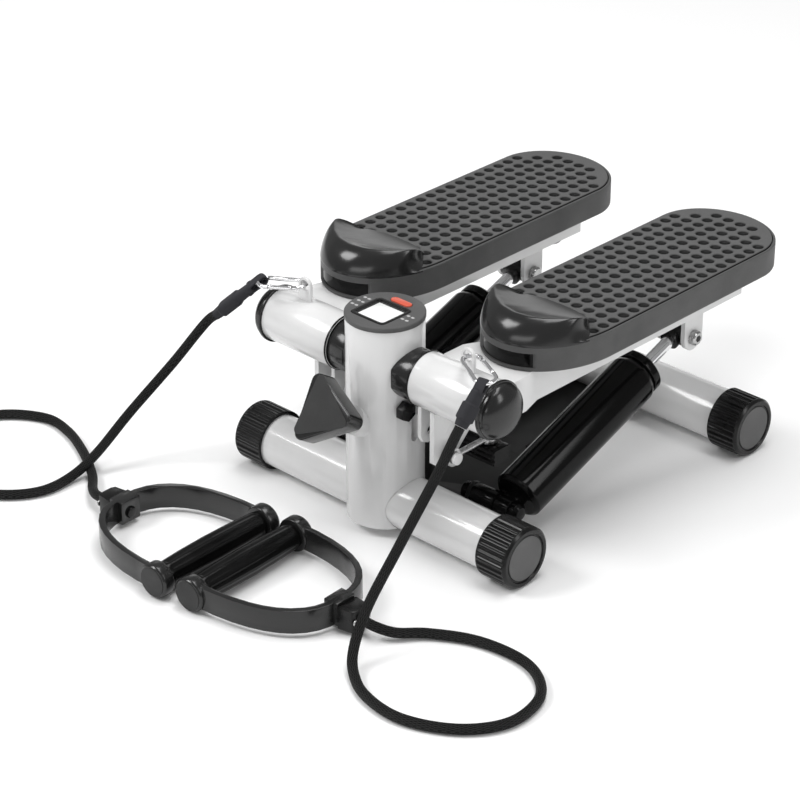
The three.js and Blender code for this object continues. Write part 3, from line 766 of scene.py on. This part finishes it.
# ------------------------------------------------------------------------------ resistance cords
@dataclass
class ResistanceCord:
    """One carabiner with its gate, webbing sleeve and braided cord."""

    tag: str
    lug: Vec
    towards: Vec
    length: float
    sleeve: tuple[Vec, Vec]
    route: list[Vec]
    cord_radius: float = 4.5
    wire: float = 2.0
    hook_length: float = 44.0
    hook_half: float = 8.5
    cord_samples: int = 620

    def hook_axes(self) -> Array:
        """Rows: along the hook away from the lug, across it, and square to its plane."""
        along = np.array(self.towards) / np.linalg.norm(self.towards)
        normal = np.array([0.0, 0.0, 1.0]) - along * along[2]
        normal /= np.linalg.norm(normal)
        return np.array([along, np.cross(normal, along), normal])

    def on_hook(self, flat: Array) -> Array:
        """Points of the hook's own plane, (along, across) pairs, in machine millimetres."""
        axes = self.hook_axes()
        return np.array(self.lug) + flat[:, :1] * axes[0] + flat[:, 1:2] * axes[1]

    def carabiner(self) -> None:
        """The bent wire: a round section carried along a rounded slot that is open where the gate is."""
        far, half = self.hook_length, self.hook_half
        flat = np.array([[far - 12, half + 1], [far - 5, half], [far - 1, half - 4], [far, 0],
                         [far - 1, 4 - half],
                         [far - 5, -half], [far / 2, -half], [5, 1 - half], [1, 5 - half], [0, 0],
                         [1, half - 5], [5, half - 1], [9, half]])
        line = through([tuple(p) for p in self.on_hook(flat)], 220)
        wire = carried(line, round_section(self.wire, 16), up=tuple(self.hook_axes()[2]))
        make_piece(f"hook_wire_{self.tag}", [wire], CHROME, f"hook_{self.tag}", (f"carabiner_{self.tag}",))

    def gate(self) -> None:
        """The sprung gate with its two rivets."""
        axes, half = self.hook_axes(), self.hook_half
        start, end = 9.9, self.hook_length - 12.9
        direction = axes[0] * math.cos(0.043) + axes[1] * math.sin(0.043)
        origin = np.array(self.lug) + axes[0] * 0.35 + axes[1] * (half - 0.4)
        profile = eased([(0, start), (1.5, start), (1.8, start + 1.5), (1.8, end - 1.5), (1.5, end),
                         (0, end)], 0.5)
        parts = [revolved(profile, tuple(origin), tuple(direction), 24)]
        for station in (start + 2.2, end - 2.2):
            rivet = eased([(0, -2.3), (1.0, -2.3), (1.0, 2.3), (0, 2.3)], 0.3)
            parts.append(revolved(rivet, tuple(origin + direction * station), tuple(axes[2]), 20))
        make_piece(f"hook_gate_bar_{self.tag}", parts, CHROME, f"gate_{self.tag}", (f"gate_{self.tag}",))

    def sleeve_piece(self) -> bpy.types.Object:
        """The webbing sleeve, its crimp and the loop that holds it on the wire.

        The sleeve is a soft rectangle carried down the line from the hook to the cord, and its size
        follows a list of stations.  The loop is a flat band carried round the wire.
        """
        top, foot = (np.array(p) for p in self.sleeve)
        way = foot - top
        length = np.linalg.norm(way)
        stations = np.linspace(0, 1, 70)
        line = top + stations[:, None] * way
        size = np.interp(stations, [0, 0.05, 0.36, 0.40, 0.80, 0.84, 1.0],
                         [0.62, 0.74, 0.80, 1.0, 1.0, 0.80, 0.70])
        axes = self.hook_axes()
        body = carried(line, soft_box(7.6, 6.2, 40, 3.2), up=tuple(axes[0]), swell=size)
        anchor = self.on_hook(np.array([[self.hook_length - 1.0, 3.6 - self.hook_half]]))[0]
        reach = top - anchor
        out = reach / np.linalg.norm(reach)
        over = axes[2] - out * (axes[2] @ out)
        over /= np.linalg.norm(over)
        turn = np.linspace(-0.5 * math.pi, 0.5 * math.pi, 24)[:, None]
        bend = anchor - 3.6 * np.cos(turn) * out + 3.6 * np.sin(turn) * over
        legs = np.array([top + 0.12 * way - 3.0 * over, top - 3.2 * over])
        ends = np.array([top + 3.2 * over, top + 0.12 * way + 3.0 * over])
        band_line = through([tuple(p) for p in np.vstack([legs, bend[::4], ends])], 60)
        band = carried(band_line, soft_box(0.9, 4.6, 16, 5.0), up=tuple(np.cross(out, over)))
        LOG.info("sleeve %s is %.1f mm long", self.tag, length)
        return make_piece(f"strap_sleeve_{self.tag}", [body, band], WEBBING, f"hook_{self.tag}",
                          (f"strap_{self.tag}",), sharp=60)

    def cord(self, strap: bpy.types.Object) -> None:
        """The braided cord: a circle carried along the whole route, one line from sleeve to handle."""
        line = through(self.route, self.cord_samples)
        tube = carried(line, round_section(self.cord_radius, 20))
        piece = make_piece(f"braided_cord_{self.tag}", [tube], BRAID, None, (f"cord_{self.tag}",), sharp=70)
        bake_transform(piece)
        length = float(np.linalg.norm(np.diff(line, axis=0), axis=1).sum()) * MM
        LOG.info("cord %s follows %.3f m", self.tag, length)

    def build(self) -> None:
        """Makes the cord first, then what it hangs from."""
        strap = self.sleeve_piece()
        self.cord(strap)
        self.carabiner()
        self.gate()


CORDS = {
    "right": ResistanceCord(
        "right", (97.6, 0, 199.5), (0.9, -0.42, -0.1), 0.643, ((135.8, -29, 191.4), (134.1, -49.3, 164.7)),
        [(134, -49.5, 164.3), (133.5, -55.5, 156.5), (132.5, -73.9, 130.9), (135.2, -123.3, 83),
         (139, -168, 40), (146, -190, 13), (160, -203, 6), (186, -217, 5), (229, -221, 5), (274, -199, 5),
         (296, -165, 5), (292, -126, 5), (274, -104, 5), (246, -92, 5), (199, -96, 5), (161, -117, 5.5),
         (143, -138, 8), (131, -148.2, 13.2), (117, -149, 14)]),
    "left": ResistanceCord(
        "left", (-97.6, 0, 199.5), (-0.9, -0.42, -0.08), 0.759, ((-142, -22, 191), (-180.3, -32, 153.6)),
        [(-180.6, -32.1, 153.3), (-189, -34, 145.8), (-217, -55, 99), (-243, -88, 50), (-251, -124, 18),
         (-252, -150, 7), (-253, -185, 5), (-272, -214, 5), (-318, -240, 5), (-368, -238, 5),
         (-402, -205, 5), (-410, -162, 5), (-391, -118, 5), (-354, -95, 5), (-322, -98, 5),
         (-283, -113, 5), (-240, -138, 6), (-217, -157, 9), (-201, -166, 13), (-187.4, -166.7, 14)]),
}


@dataclass
class Handle:
    """One D-handle: bow, grip and the block that clamps the cord."""

    tag: str
    at: tuple[float, float]
    turn: float
    grip_half: float = 58.0
    bow_depth: float = 113.0
    grip_z: float = 16.0

    def seat(self, patch: Patch) -> Patch:
        """Turns and moves a patch from the handle's own axes (grip on Y, bow towards +X) to its place."""
        a = math.radians(self.turn)
        spin = np.array([[math.cos(a), math.sin(a), 0], [-math.sin(a), math.cos(a), 0], [0, 0, 1]])
        return Patch(patch.points @ spin + np.array([*self.at, 0.0]), patch.faces, patch.uv)

    def bow(self) -> None:
        """The moulded hoop and its two grey end faces."""
        dress(f"handle_bow_{self.tag}", GLOSS, edge=1.1, sharp=34)
        faces = []
        for end in (1, -1):
            start = self.grip_half + 12.9
            profile = eased([(0, start), (13.4, start), (13.4, start + 0.8), (0, start + 0.8)], 0.25)
            faces.append(self.seat(revolved(profile, (0, 0, self.grip_z), (0, end, 0), 64)))
        make_piece(f"bow_end_faces_{self.tag}", faces, FACE_GREY, "frame")

    def grip(self) -> None:
        """The vinyl grip: a turned barrel shape with long flutes."""
        half = self.grip_half
        profile = eased([(5.3, -half), (11.6, -half), (12.1, -half + 5), (13.2, -30), (13.7, 0), (13.2, 30),
                         (12.1, half - 5), (11.6, half), (5.3, half), (5.3, -half)], 1.2)
        body = revolved(profile, (0, 0, self.grip_z), (0, 1, 0), 120, ribs=10, rib_depth=0.55,
                        ribbed=(-half + 4, half - 4), closed=True)
        make_piece(f"ribbed_grip_{self.tag}", [self.seat(body)], VINYL, f"grip_{self.tag}",
                   (f"grip_{self.tag}",),
                   sharp=50)

    def clamp(self) -> None:
        """The clamp block with two bright screw ends beside the cord and a flange over the bow."""
        dress(f"cord_clamp_{self.tag}", MOULDED, edge=0.8)
        start = self.bow_depth + 19.7
        screws = []
        for shift in (-7.4, 7.4):
            profile = eased([(0, start), (3.0, start), (3.0, start + 1.6), (1.6, start + 2.8),
                             (0, start + 2.8)], 0.5)
            screws.append(self.seat(revolved(profile, (0, shift, 14.0), (1, 0, 0), 24)))
        make_piece(f"clamp_screws_{self.tag}", screws, STEEL, "frame")

    def build(self) -> None:
        """Dresses the whole handle."""
        self.bow()
        self.grip()
        self.clamp()


# ------------------------------------------------------------------------------ pedals
@dataclass
class PedalPlan:
    """Plan outline of a pedal: half ellipse at the nose, straight flanks, half ellipse at the heel."""

    middle: float = 97.6
    half: float = 59.2
    nose: float = 37.7
    heel: float = 384.0
    nose_depth: float = 80.0
    heel_depth: float = 52.0

    def ring(self, inset: Array, nose_steps: int = 120, flank_steps: int = 30,
             heel_steps: int = 90) -> Array:
        """Outline points for each inset.

        x = (half - inset) * sin(a); y = end of the flank -/+ (depth - inset) * cos(a) at nose and heel.

        Args:
            inset: how far inside the outline each ring lies.
            nose_steps: points round the nose.
            flank_steps: points on each flank.
            heel_steps: points round the heel.

        Returns:
            An array (rings, points, 2), going round once from the left flank by way of the nose.
        """
        inset = np.asarray(inset, float)[:, None]
        half = self.half - inset
        a = np.linspace(-math.pi / 2, math.pi / 2, nose_steps)[None, :]
        b = np.linspace(math.pi / 2, -math.pi / 2, heel_steps)[None, :]
        front, back = self.nose + self.nose_depth, self.heel - self.heel_depth
        nose = np.stack([half * np.sin(a), front - (self.nose_depth - inset) * np.cos(a)], -1)
        heel = np.stack([half * np.sin(b), back + (self.heel_depth - inset) * np.cos(b)], -1)
        run = np.linspace(front, back, flank_steps + 2)[1:-1][None, :]
        right = np.stack([half + 0 * run, run + 0 * half], -1)
        left = np.stack([-half + 0 * run, run[:, ::-1] + 0 * half], -1)
        return np.concatenate([nose, right, heel, left], 1) + np.array([self.middle, 0.0])

    def half_width(self, y: Array, inset: float) -> Array:
        """Half the width of the outline at each y."""
        front, back = self.nose + self.nose_depth, self.heel - self.heel_depth
        nose = np.clip((front - y) / (self.nose_depth - inset), 0, 1)
        heel = np.clip((y - back) / (self.heel_depth - inset), 0, 1)
        narrowing = np.sqrt(np.clip(1 - nose ** 2, 0, 1)) * np.sqrt(np.clip(1 - heel ** 2, 0, 1))
        return (self.half - inset) * narrowing


@dataclass
class Pedal:
    """Skirt, dimpled tread and toe cup of one pedal."""

    tag: str
    plan: PedalPlan = field(default_factory=PedalPlan)
    under: float = 176.0
    deck: float = 199.0
    tread_top: float = 202.0
    pitch: tuple[float, float] = (13.8, 13.6)
    first_dimple: float = 118.0
    last_column: tuple[int, ...] = (16, 17, 18, 18, 18, 18, 17, 16)
    dimple_radius: float = 5.8
    dimple_depth: float = 2.3
    crest_z: float = 221.6

    @property
    def side(self) -> int:
        """+1 on the right and -1 on the left."""
        return SIDES[self.tag]

    @property
    def body(self) -> str:
        """The CAD body of this pedal."""
        return f"pedal_arm_{self.tag}"

    def skirt(self) -> None:
        """The moulded skirt: rings of the plan at (inset, height), with a panel sunk into the nose.

        The panel's inset is 2 mm times an eased window that is one within 30 mm of the middle.
        """
        top, low = self.deck, self.under
        profile = np.array([(1.2, low), (0.4, low + 0.3), (0, low + 1.2), (0, low + 3.0), (0, low + 3.3),
                            (0, low + 16.6), (0, low + 17.0), (0, top), (0.15, top + 1.3),
                            (0.7, top + 1.9), (2.2, top + 1.9),
                            (2.6, top + 1.5), (2.8, top - 0.6), (4.6, top - 0.6)])
        sunk = np.array([0, 0, 0, 0, 1, 1, 0, 0, 0, 0, 0, 0, 0, 0.0])
        flat = self.plan.ring(profile[:, 0])
        off = np.abs(flat[..., 0] - self.plan.middle)
        window = np.clip((31.0 - off) / 1.2, 0, 1) * (flat[..., 1] < 110)
        deeper = self.plan.ring(profile[:, 0] + 2.2)
        mix = (sunk[:, None] * window)[..., None]
        flat = flat * (1 - mix) + deeper * mix
        height = np.broadcast_to(profile[:, 1][:, None, None], (*flat.shape[:2], 1))
        patch = grid_patch(np.concatenate([flat, height], -1), close_columns=True, lids=True)
        make_piece(f"pedal_skirt_{self.tag}", [patch.mirrored(self.side)], PEDAL_GREY, self.body,
                   (f"pedal_{self.tag}",), sharp=28)

    def nose_panel(self) -> None:
        """The dark panel let into the nose: the plan's line 1.7 mm inside the skirt, across 58 mm."""
        rings = self.plan.ring(np.array([1.7, 1.7, 2.6, 2.6]))
        chosen = (np.abs(rings[0, :, 0] - self.plan.middle) < 29.0) & (rings[0, :, 1] < 110)
        flat = rings[:, chosen]
        heights = np.array([179.6, 192.4, 192.4, 179.6])[:, None, None] + 0 * flat[..., :1]
        patch = grid_patch(np.concatenate([flat, heights], -1).swapaxes(0, 1), close_columns=True,
                           lids=True)
        make_piece(f"nose_panel_{self.tag}", [patch.mirrored(self.side)], ENAMEL, self.body)

    def dimples(self, x: Array, y: Array) -> Array:
        """How deep the tread is sunk at each place.

        Each place looks at the nearest hole of the square grid.  Depth falls from the full depth to
        nothing as the distance to the hole's middle runs from 62% of its radius to all of it.

        Args:
            x: distance from the pedal's middle line.
            y: distance along the pedal.

        Returns:
            The depth in millimetres.
        """
        px, py = self.pitch
        row = np.clip(np.rint(x / px + 3.5), 0, 7).astype(int)
        column = np.rint((y - self.first_dimple) / py)
        there = (column <= np.array(self.last_column)[row]) & (column >= -1)
        far = np.hypot(x - (row - 3.5) * px, y - self.first_dimple - column * py) / self.dimple_radius
        t = np.clip((1 - far) / 0.38, 0, 1)
        return self.dimple_depth * t * t * (3 - 2 * t) * there

    def tread(self) -> None:
        """The tread plate: rows across the pedal from flank to flank, sunk by the dimples.

        Rows lie evenly along the flanks and by angle round the heel.  x = half width * u.
        """
        inset, front = 3.7, 84.0
        back = self.plan.heel - self.plan.heel_depth
        heel = self.plan.heel_depth - inset
        straight = np.linspace(front, back, 330, endpoint=False)
        rounded = back + heel * np.sin(np.linspace(0, math.pi / 2, 80))
        y = np.concatenate([straight, rounded])[:, None]
        u = np.linspace(-1, 1, 150)[None, :]
        x = self.plan.half_width(y, inset) * u
        z = self.tread_top - self.dimples(x, y + 0 * x)
        top = np.stack([x + self.plan.middle, y + 0 * x, z], -1)
        lower = top.copy()
        lower[..., 2] = self.deck + 0.1
        rim = top.copy()
        rim[..., 2] -= 0.5
        grow = np.array([1.006, 1.0])

        def ring(grid: Array) -> Array:
            """The border of a grid, once round."""
            return np.concatenate([grid[0, :-1], grid[:-1, -1], grid[-1, :0:-1], grid[:0:-1, 0]])

        walls = np.stack([ring(top), (ring(rim) - [self.plan.middle, 230, 0]) * [*grow, 1.0]
                          + [self.plan.middle, 230, 0], ring(lower)])
        patches = [grid_patch(top), grid_patch(walls, close_columns=True),
                   Patch(ring(lower), [np.arange(len(ring(lower)))[None, ::-1]])]
        # The dimple hollows are darkened by painted shade in TREAD_GREY.
        make_piece(f"dimpled_tread_{self.tag}", [p.mirrored(self.side) for p in patches], TREAD_GREY,
                   self.body,
                   (f"tread_{self.tag}",), sharp=60)

    def ridge(self, u: Array) -> Array:
        """The crest of the toe cup, as offsets from the middle line.

        Args:
            u: from -1 at the left end to 1 at the right end.

        Returns:
            One point for each u, eased by a weighted average along the line.
        """
        s = np.abs(u)
        knots = [0, 0.2, 0.4, 0.6, 0.74, 0.84, 0.92, 1.0]
        x = np.interp(s, knots, [0, 17, 32, 43, 48.6, 47.0, 42.5, 37.0])
        y = np.interp(s, knots, [55.5, 58.5, 67.5, 78.5, 88.5, 98.0, 106.0, 112.5])
        z = np.interp(s, knots, [self.crest_z - 0.4, self.crest_z - 0.2, self.crest_z, self.crest_z,
                                 self.crest_z - 1,
                                 self.crest_z - 6.0, self.crest_z - 12, self.tread_top + 2.4])
        kernel = np.hanning(17)
        kernel /= kernel.sum()
        line = np.stack([np.sign(u) * x, y, z], -1)
        padded = np.pad(line, ((8, 8), (0, 0)), mode="reflect", reflect_type="odd")
        return np.stack([np.convolve(padded[:, i], kernel, "valid") for i in range(3)], -1)

    def toe_cup(self) -> None:
        """The glossy toe cup: outer skin from the rim up to the crest, and a scooped ramp down to the tread.

        Outer skin: plan moves from rim to crest by 0.4 v + 0.6 (1 - cos(v pi / 2)), height by
        0.3 v + 0.7 sin(v pi / 2).  Ramp: plan moves by v, height falls by (1 - v) to the power 1.7.
        Averaging along the profile then eases the crest.
        """
        u = np.linspace(-1, 1, 181)
        crest = self.ridge(u)
        a = u * 1.86
        nose = self.plan.nose + self.plan.nose_depth
        rim = np.stack([(self.plan.half + 0.2) * np.sin(np.clip(a, -math.pi / 2, math.pi / 2)),
                        nose - (self.plan.nose_depth + 0.2) * np.cos(a * 0.665), 0 * u + self.deck + 1.0], -1)
        rim[:, 0] = np.sign(u) * self.plan.half_width(rim[:, 1], -0.2)
        foot = np.stack([37.0 * np.sin(u * math.pi / 2), 112.5 + 7.5 * np.cos(u * math.pi / 2) ** 1.2,
                         0 * u + self.tread_top + 2.2], -1)
        v = np.linspace(0, 1, 26)[:, None, None]
        plan_v = 0.4 * v + 0.6 * (1 - np.cos(v * math.pi / 2))
        high_v = 0.3 * v + 0.7 * np.sin(v * math.pi / 2)
        outer = rim + (crest - rim) * np.concatenate([plan_v, plan_v, high_v], -1)
        fall = 1 - (1 - v) ** 1.7
        inner = crest + (foot - crest) * np.concatenate([v, v, fall], -1)
        skin = np.concatenate([outer, inner[1:]], 0)
        soft = skin.copy()
        for _ in range(3):
            soft[1:-1] = (soft[:-2] + 2 * soft[1:-1] + soft[2:]) / 4
        skin = soft
        base = rim.copy()
        base[:, 2] = self.deck - 0.2
        lip = foot.copy()
        lip[:, 2] = self.tread_top - 1.0
        grid = np.concatenate([base[None], skin, lip[None]], 0)
        grid[..., 0] += self.plan.middle
        floor = np.stack([grid[0], grid[-1]])
        ends = [Patch(grid[:, i], [np.arange(len(grid))[None, ::(1 if i else -1)]]) for i in (0, -1)]
        patches = [grid_patch(grid), grid_patch(floor[::-1]), *ends]
        make_piece(f"toe_hood_{self.tag}", [p.mirrored(self.side) for p in patches], GLOSS, self.body,
                   (f"toe_cup_{self.tag}",), sharp=50)

    def build(self) -> None:
        """Makes the pedal and dresses the bumper below it."""
        self.skirt()
        self.nose_panel()
        self.tread()
        self.toe_cup()
        dress(f"bumper_{self.tag}", RUBBER, edge=0.5)


# ------------------------------------------------------------------------------ arms and cylinders
@dataclass
class PedalArm:
    """The welded arm, its pivot tube and the domed cap on the end of the shaft."""

    tag: str
    pivot_z: float = 160.0
    outer: float = 129.4
    inner: float = 48.4
    eye: tuple[float, float] = (287.0, 117.0)
    pedal_x: float = 97.6

    @property
    def side(self) -> int:
        """+1 on the right and -1 on the left."""
        return SIDES[self.tag]

    def cap(self) -> None:
        """The glossy dome: a lip, a fine groove and a quarter-ellipse cap turned round the shaft."""
        x = self.outer + 0.3
        a = np.linspace(0.06, 1, 22) * math.pi / 2
        dome = [(25.4 * math.cos(t), x + 4.0 + 13.9 * math.sin(t)) for t in a]
        profile = np.vstack([eased([(0, x), (26.9, x), (26.9, x + 2.9), (25.3, x + 3.2), (25.3, x + 4.2)],
                                   0.5), dome])
        cap = revolved(profile, (0, 0, self.pivot_z), (self.side, 0, 0), 96)
        make_piece(f"pivot_dome_{self.tag}", [cap], GLOSS, f"pedal_arm_{self.tag}",
                   (f"pivot_cap_{self.tag}",),
                   sharp=40)

    def rings(self) -> None:
        """A bright washer between the sleeve and the pivot tube."""
        x = self.inner
        profile = eased([(12, x - 0.2), (24.2, x - 0.2), (24.6, x + 0.1), (25.6, x + 0.2), (25.6, x + 2.0),
                         (12, x + 2.0),
                         (12, x - 0.2)], 0.3)
        ring = revolved(profile, (0, 0, self.pivot_z), (self.side, 0, 0), 96, closed=True)
        make_piece(f"pivot_collar_{self.tag}", [ring], MOULDED, f"pedal_arm_{self.tag}")

    def build(self) -> None:
        """Dresses the arm."""
        dress(f"arm_{self.tag}", WHITE, edge=0.9)
        dress(f"pivot_tube_{self.tag}", WHITE, edge=0.5)
        dress(f"clevis_bolt_{self.tag}", STEEL, edge=0.3)
        self.cap()
        self.rings()
        x = self.pedal_x
        # Painted shade: a thin black hexagon on the clevis bolt's head stands in for the shade inside its
        # socket recess.
        profile = eased([(0, 23.45), (3.4, 23.45), (3.4, 23.75), (0, 23.75)], 0.05)
        socket = revolved(profile, (self.side * x, *self.eye), (self.side, 0, 0), 6)
        make_piece(f"bolt_socket_shade_{self.tag}", [socket], MOULDED, f"pedal_arm_{self.tag}")


@dataclass
class Cylinder:
    """One hydraulic cylinder between the base plate and the arm."""

    tag: str
    low: tuple[float, float] = (52.0, 29.0)
    high: tuple[float, float] = (287.0, 117.0)
    middle: float = 97.6

    @property
    def side(self) -> int:
        """+1 on the right and -1 on the left."""
        return SIDES[self.tag]

    def along(self) -> Vec:
        """The direction from the lower eye to the upper one."""
        run, rise = self.high[0] - self.low[0], self.high[1] - self.low[1]
        size = math.hypot(run, rise)
        return (0.0, run / size, rise / size)

    def barrel(self) -> None:
        """The enamelled barrel: rolled bottom edge, long body, gland groove and end nut."""
        origin = (self.side * self.middle, *self.low)
        profile = eased([(0, 14), (20.5, 14), (24, 17.4), (24, 180.5), (22.4, 184.5), (19.5, 185),
                         (19.5, 187), (22.5, 187.6), (22.5, 195), (18.5, 198.4), (7.4, 198.4),
                         (7.4, 190), (0, 190)], 1.0)
        shell = revolved(profile, origin, self.along(), 96)
        eye = revolved(eased([(5.4, -8), (10, -8), (10, 8), (5.4, 8), (5.4, -8)], 0.5), origin, (1, 0, 0),
                       48, closed=True)
        line = np.array(origin) + np.linspace(6.0, 16.0, 8)[:, None] * np.array(self.along())
        web = carried(line, soft_box(7.0, 8.0, 32, 6.0), up=(1.0, 0.0, 0.0))
        make_piece(f"cylinder_barrel_{self.tag}", [shell, eye, web], ENAMEL, f"cylinder_{self.tag}",
                   (f"barrel_{self.tag}",), sharp=30)

    def build(self) -> None:
        """Makes the barrel and dresses the rod, its eye and the lower bolt."""
        self.barrel()
        dress(f"rod_{self.tag}", CHROME)
        dress(f"rod_eye_{self.tag}", MOULDED, edge=0.5)
        dress(f"lower_bolt_{self.tag}", ENAMEL, edge=0.4)


# ------------------------------------------------------------------------------ frame
@dataclass
class FootCap:
    """A ribbed cap with its grey end disc."""

    tag: str
    station: float
    end: str
    half_width: float = 167.0
    length: float = 33.4
    radius: float = 28.4
    ribs: int = 28

    def build(self) -> None:
        """Turns the ribbed shell, then its disc."""
        side = SIDES[self.tag]
        inner, outer = self.half_width - self.length, self.half_width
        profile = eased([(25.3, inner + 6), (25.3, inner), (28.4, inner), (28.4, inner + 2.4),
                         (28.4, outer - 4.8), (28.4, outer - 2.2), (26.2, outer - 0.1),
                         (22.9, outer - 0.1), (22.4, outer - 1.6), (20.9, outer - 1.6),
                         (20.9, outer - 4), (0, outer - 4)], 0.5)
        back = np.array([(0, inner + 6)])
        profile = np.vstack([back, profile])
        origin = (0, self.station, self.radius)
        name = f"{self.end}_{self.tag}"
        shell = revolved(profile, origin, (side, 0, 0), self.ribs * 10, self.ribs, 1.5,
                         (inner + 0.4, outer - 2.6))
        make_piece(f"ribbed_cap_{name}", [shell], MOULDED, "frame", (f"foot_cap_{name}",), sharp=40)
        face = eased([(0, outer - 5), (20.8, outer - 5), (20.8, outer - 0.6), (0, outer - 0.4)], 0.5)
        make_piece(f"cap_disc_{name}", [revolved(face, origin, (side, 0, 0), 96)], DISC_GREY, "frame")


@dataclass
class BaseFrame:
    """Floor tubes, base plate, post, shaft and the black sleeves beside the post."""

    wheelbase: float = 319.0

    def build(self) -> None:
        """Dresses the welded frame and caps its tubes."""
        for name in ("front_tube", "rear_tube"):
            dress(name, WHITE)
        dress("base_plate", CHARCOAL, edge=0.6)
        dress("post", WHITE, edge=0.5)
        dress("pivot_shaft", STEEL)
        dress("rocker_bolt", STEEL, edge=0.4)
        dress("post_side_bolt", MOULDED, edge=0.5)
        for tag in SIDES:
            dress(f"pivot_sleeve_{tag}", GLOSS, edge=0.6)
            FootCap(tag, 0.0, "front").build()
            FootCap(tag, self.wheelbase, "rear").build()


@dataclass
class Console:
    """The round console with its window, button and small pale marks."""

    top: float = 208.5
    left_marks: tuple[float, ...] = (-10.0, -2.0, 6.0)
    right_marks: tuple[float, ...] = (-2.0, 5.5)

    def mark(self, x: float, y: float, half: float) -> Patch:
        """One printed bar: a thin soft-cornered plate just proud of the housing."""
        outline = soft_box(half, 1.3, 28, 4.0) + np.array([x, y])
        low, high = (np.column_stack([outline, np.full(len(outline), self.top + h)]) for h in (-0.2, 0.08))
        return grid_patch(np.stack([low, high]), close_columns=True, lids=True)

    def build(self) -> None:
        """Dresses the console and prints its marks."""
        dress("console_housing", CONSOLE_GREY, edge=0.4)
        dress("console_lcd", SCREEN, edge=0.2)
        dress("console_button", RED, edge=0.0)
        marks = [self.mark(x, y, 1.7) for y in self.left_marks for x in (-29.6, -24.8)]
        marks += [self.mark(x, y, 1.7) for y in self.right_marks for x in (22.6, 27.6)]
        make_piece("console_marks", marks, PRINT, "frame")
        outer, opening = soft_box(20.4, 19.6, 64, 9.0), soft_box(16.8, 15.8, 64, 12.0)
        loops = [(outer, -0.3), (outer, 0.1), (outer * 0.985, 0.22), (opening * 1.02, 0.22), (opening, 0.1),
                 (opening, -1.2), (opening * 1.02, -1.2), (opening * 1.03, -0.3)]
        grid = np.stack([np.column_stack([loop + np.array([-1.0, -4.0]), np.full(len(loop), self.top + h)])
                         for loop, h in loops])
        make_piece("screen_bezel", [grid_patch(grid, close_rows=True, close_columns=True)], MOULDED,
                   "frame", sharp=30)


@dataclass
class HeightKnob:
    """The three-lobed knob on its leaning screw."""

    tilt: float = 32.0
    face: Vec = (0.0, -80.0, 141.5)
    reach: float = 33.5
    corner: float = 7.0

    def face_plate(self) -> None:
        """The flat grey face: a rounded triangle with lobes at 120 degree steps, a little inside the knob."""
        inset = 2.2
        middle = np.radians(120 * np.arange(3) - 4)
        fan = np.linspace(-math.pi / 3, math.pi / 3, 16)
        angle = middle[:, None] + fan[None, :]
        centre = self.reach - self.corner
        radius = self.corner - inset
        flat = np.stack([centre * np.cos(middle)[:, None] + radius * np.cos(angle),
                         centre * np.sin(middle)[:, None] + radius * np.sin(angle)], -1).reshape(-1, 2)
        a = math.radians(-self.tilt)
        out = np.array([0.0, math.cos(a), math.sin(a)])
        over = np.array([0.0, -math.sin(a), math.cos(a)])
        spots = [np.array(self.face) + flat[:, :1] * np.array([1.0, 0, 0]) + flat[:, 1:] * over + out * h
                 for h in (0.4, -0.25)]
        patch = grid_patch(np.stack(spots), close_columns=True, lids=True)
        make_piece("knob_face", [patch], FACE_GREY, "height_knob")

    def build(self) -> None:
        """Dresses the knob, its face and its screw."""
        dress("knob", GLOSS, edge=0.0, sharp=40)
        dress("knob_screw", STEEL)
        self.face_plate()


@dataclass
class Equaliser:
    """The rocker bar and the two links that tie the pedals together."""

    half: float = 96.0
    low: float = 75.0
    high: float = 90.5
    front: float = 36.2
    rear: float = 57.8

    def bar(self) -> None:
        """The ribbed bar: a grooved section carried along X, with a pin near each end.

        The section's front and rear faces carry three rounded grooves 1.4 mm deep.
        """
        z = np.linspace(self.low, self.high, 41)
        wave = 1.4 * np.abs(np.sin((z - self.low) / (self.high - self.low) * 3 * math.pi)) ** 0.7 - 1.4
        rear = np.stack([self.rear + wave, z], -1)
        front = np.stack([self.front - wave, z], -1)[::-1]
        section = np.concatenate([rear, front])
        x = np.concatenate([[-self.half, -self.half + 0.8], np.linspace(-self.half + 6, self.half - 6, 9),
                            [self.half - 0.8, self.half]])
        shrink = np.ones(len(x))
        shrink[[0, -1]] = 0.94
        middle = section.mean(0)
        flat = middle + (section - middle)[None] * shrink[:, None, None]
        grid = np.concatenate([np.broadcast_to(x[:, None, None], (len(x), len(section), 1)), flat], -1)
        pins = [revolved(eased([(0, 88), (3.5, 88), (3.5, 100.4), (0, 101)], 0.4), (80 * s, 47, 0),
                         (0, 0, 1), 32)
                for s in (-1, 1)]
        make_piece("ribbed_rocker", [grid_patch(grid, close_columns=True, lids=True), *pins], ENAMEL,
                   "rocker",
                   ("rocker",), sharp=40)

    def build(self) -> None:
        """Makes the bar and dresses the links."""
        self.bar()
        for tag in SIDES:
            dress(f"link_{tag}", STEEL, edge=0.4)


def main() -> None:
    """Builds the stage, the cords, then every sub-assembly in order."""
    logging.basicConfig(level=logging.INFO, format="%(message)s")
    Studio().build()
    for cord in CORDS.values():
        cord.build()
    Handle("right", (-17.0, -156.0), 3.0).build()
    Handle("left", (-54.0, -162.0), 182.0).build()
    BaseFrame().build()
    Console().build()
    HeightKnob().build()
    Equaliser().build()
    for tag in SIDES:
        PedalArm(tag).build()
        Cylinder(tag).build()
        Pedal(tag).build()


if __name__ == "__main__":
    main()
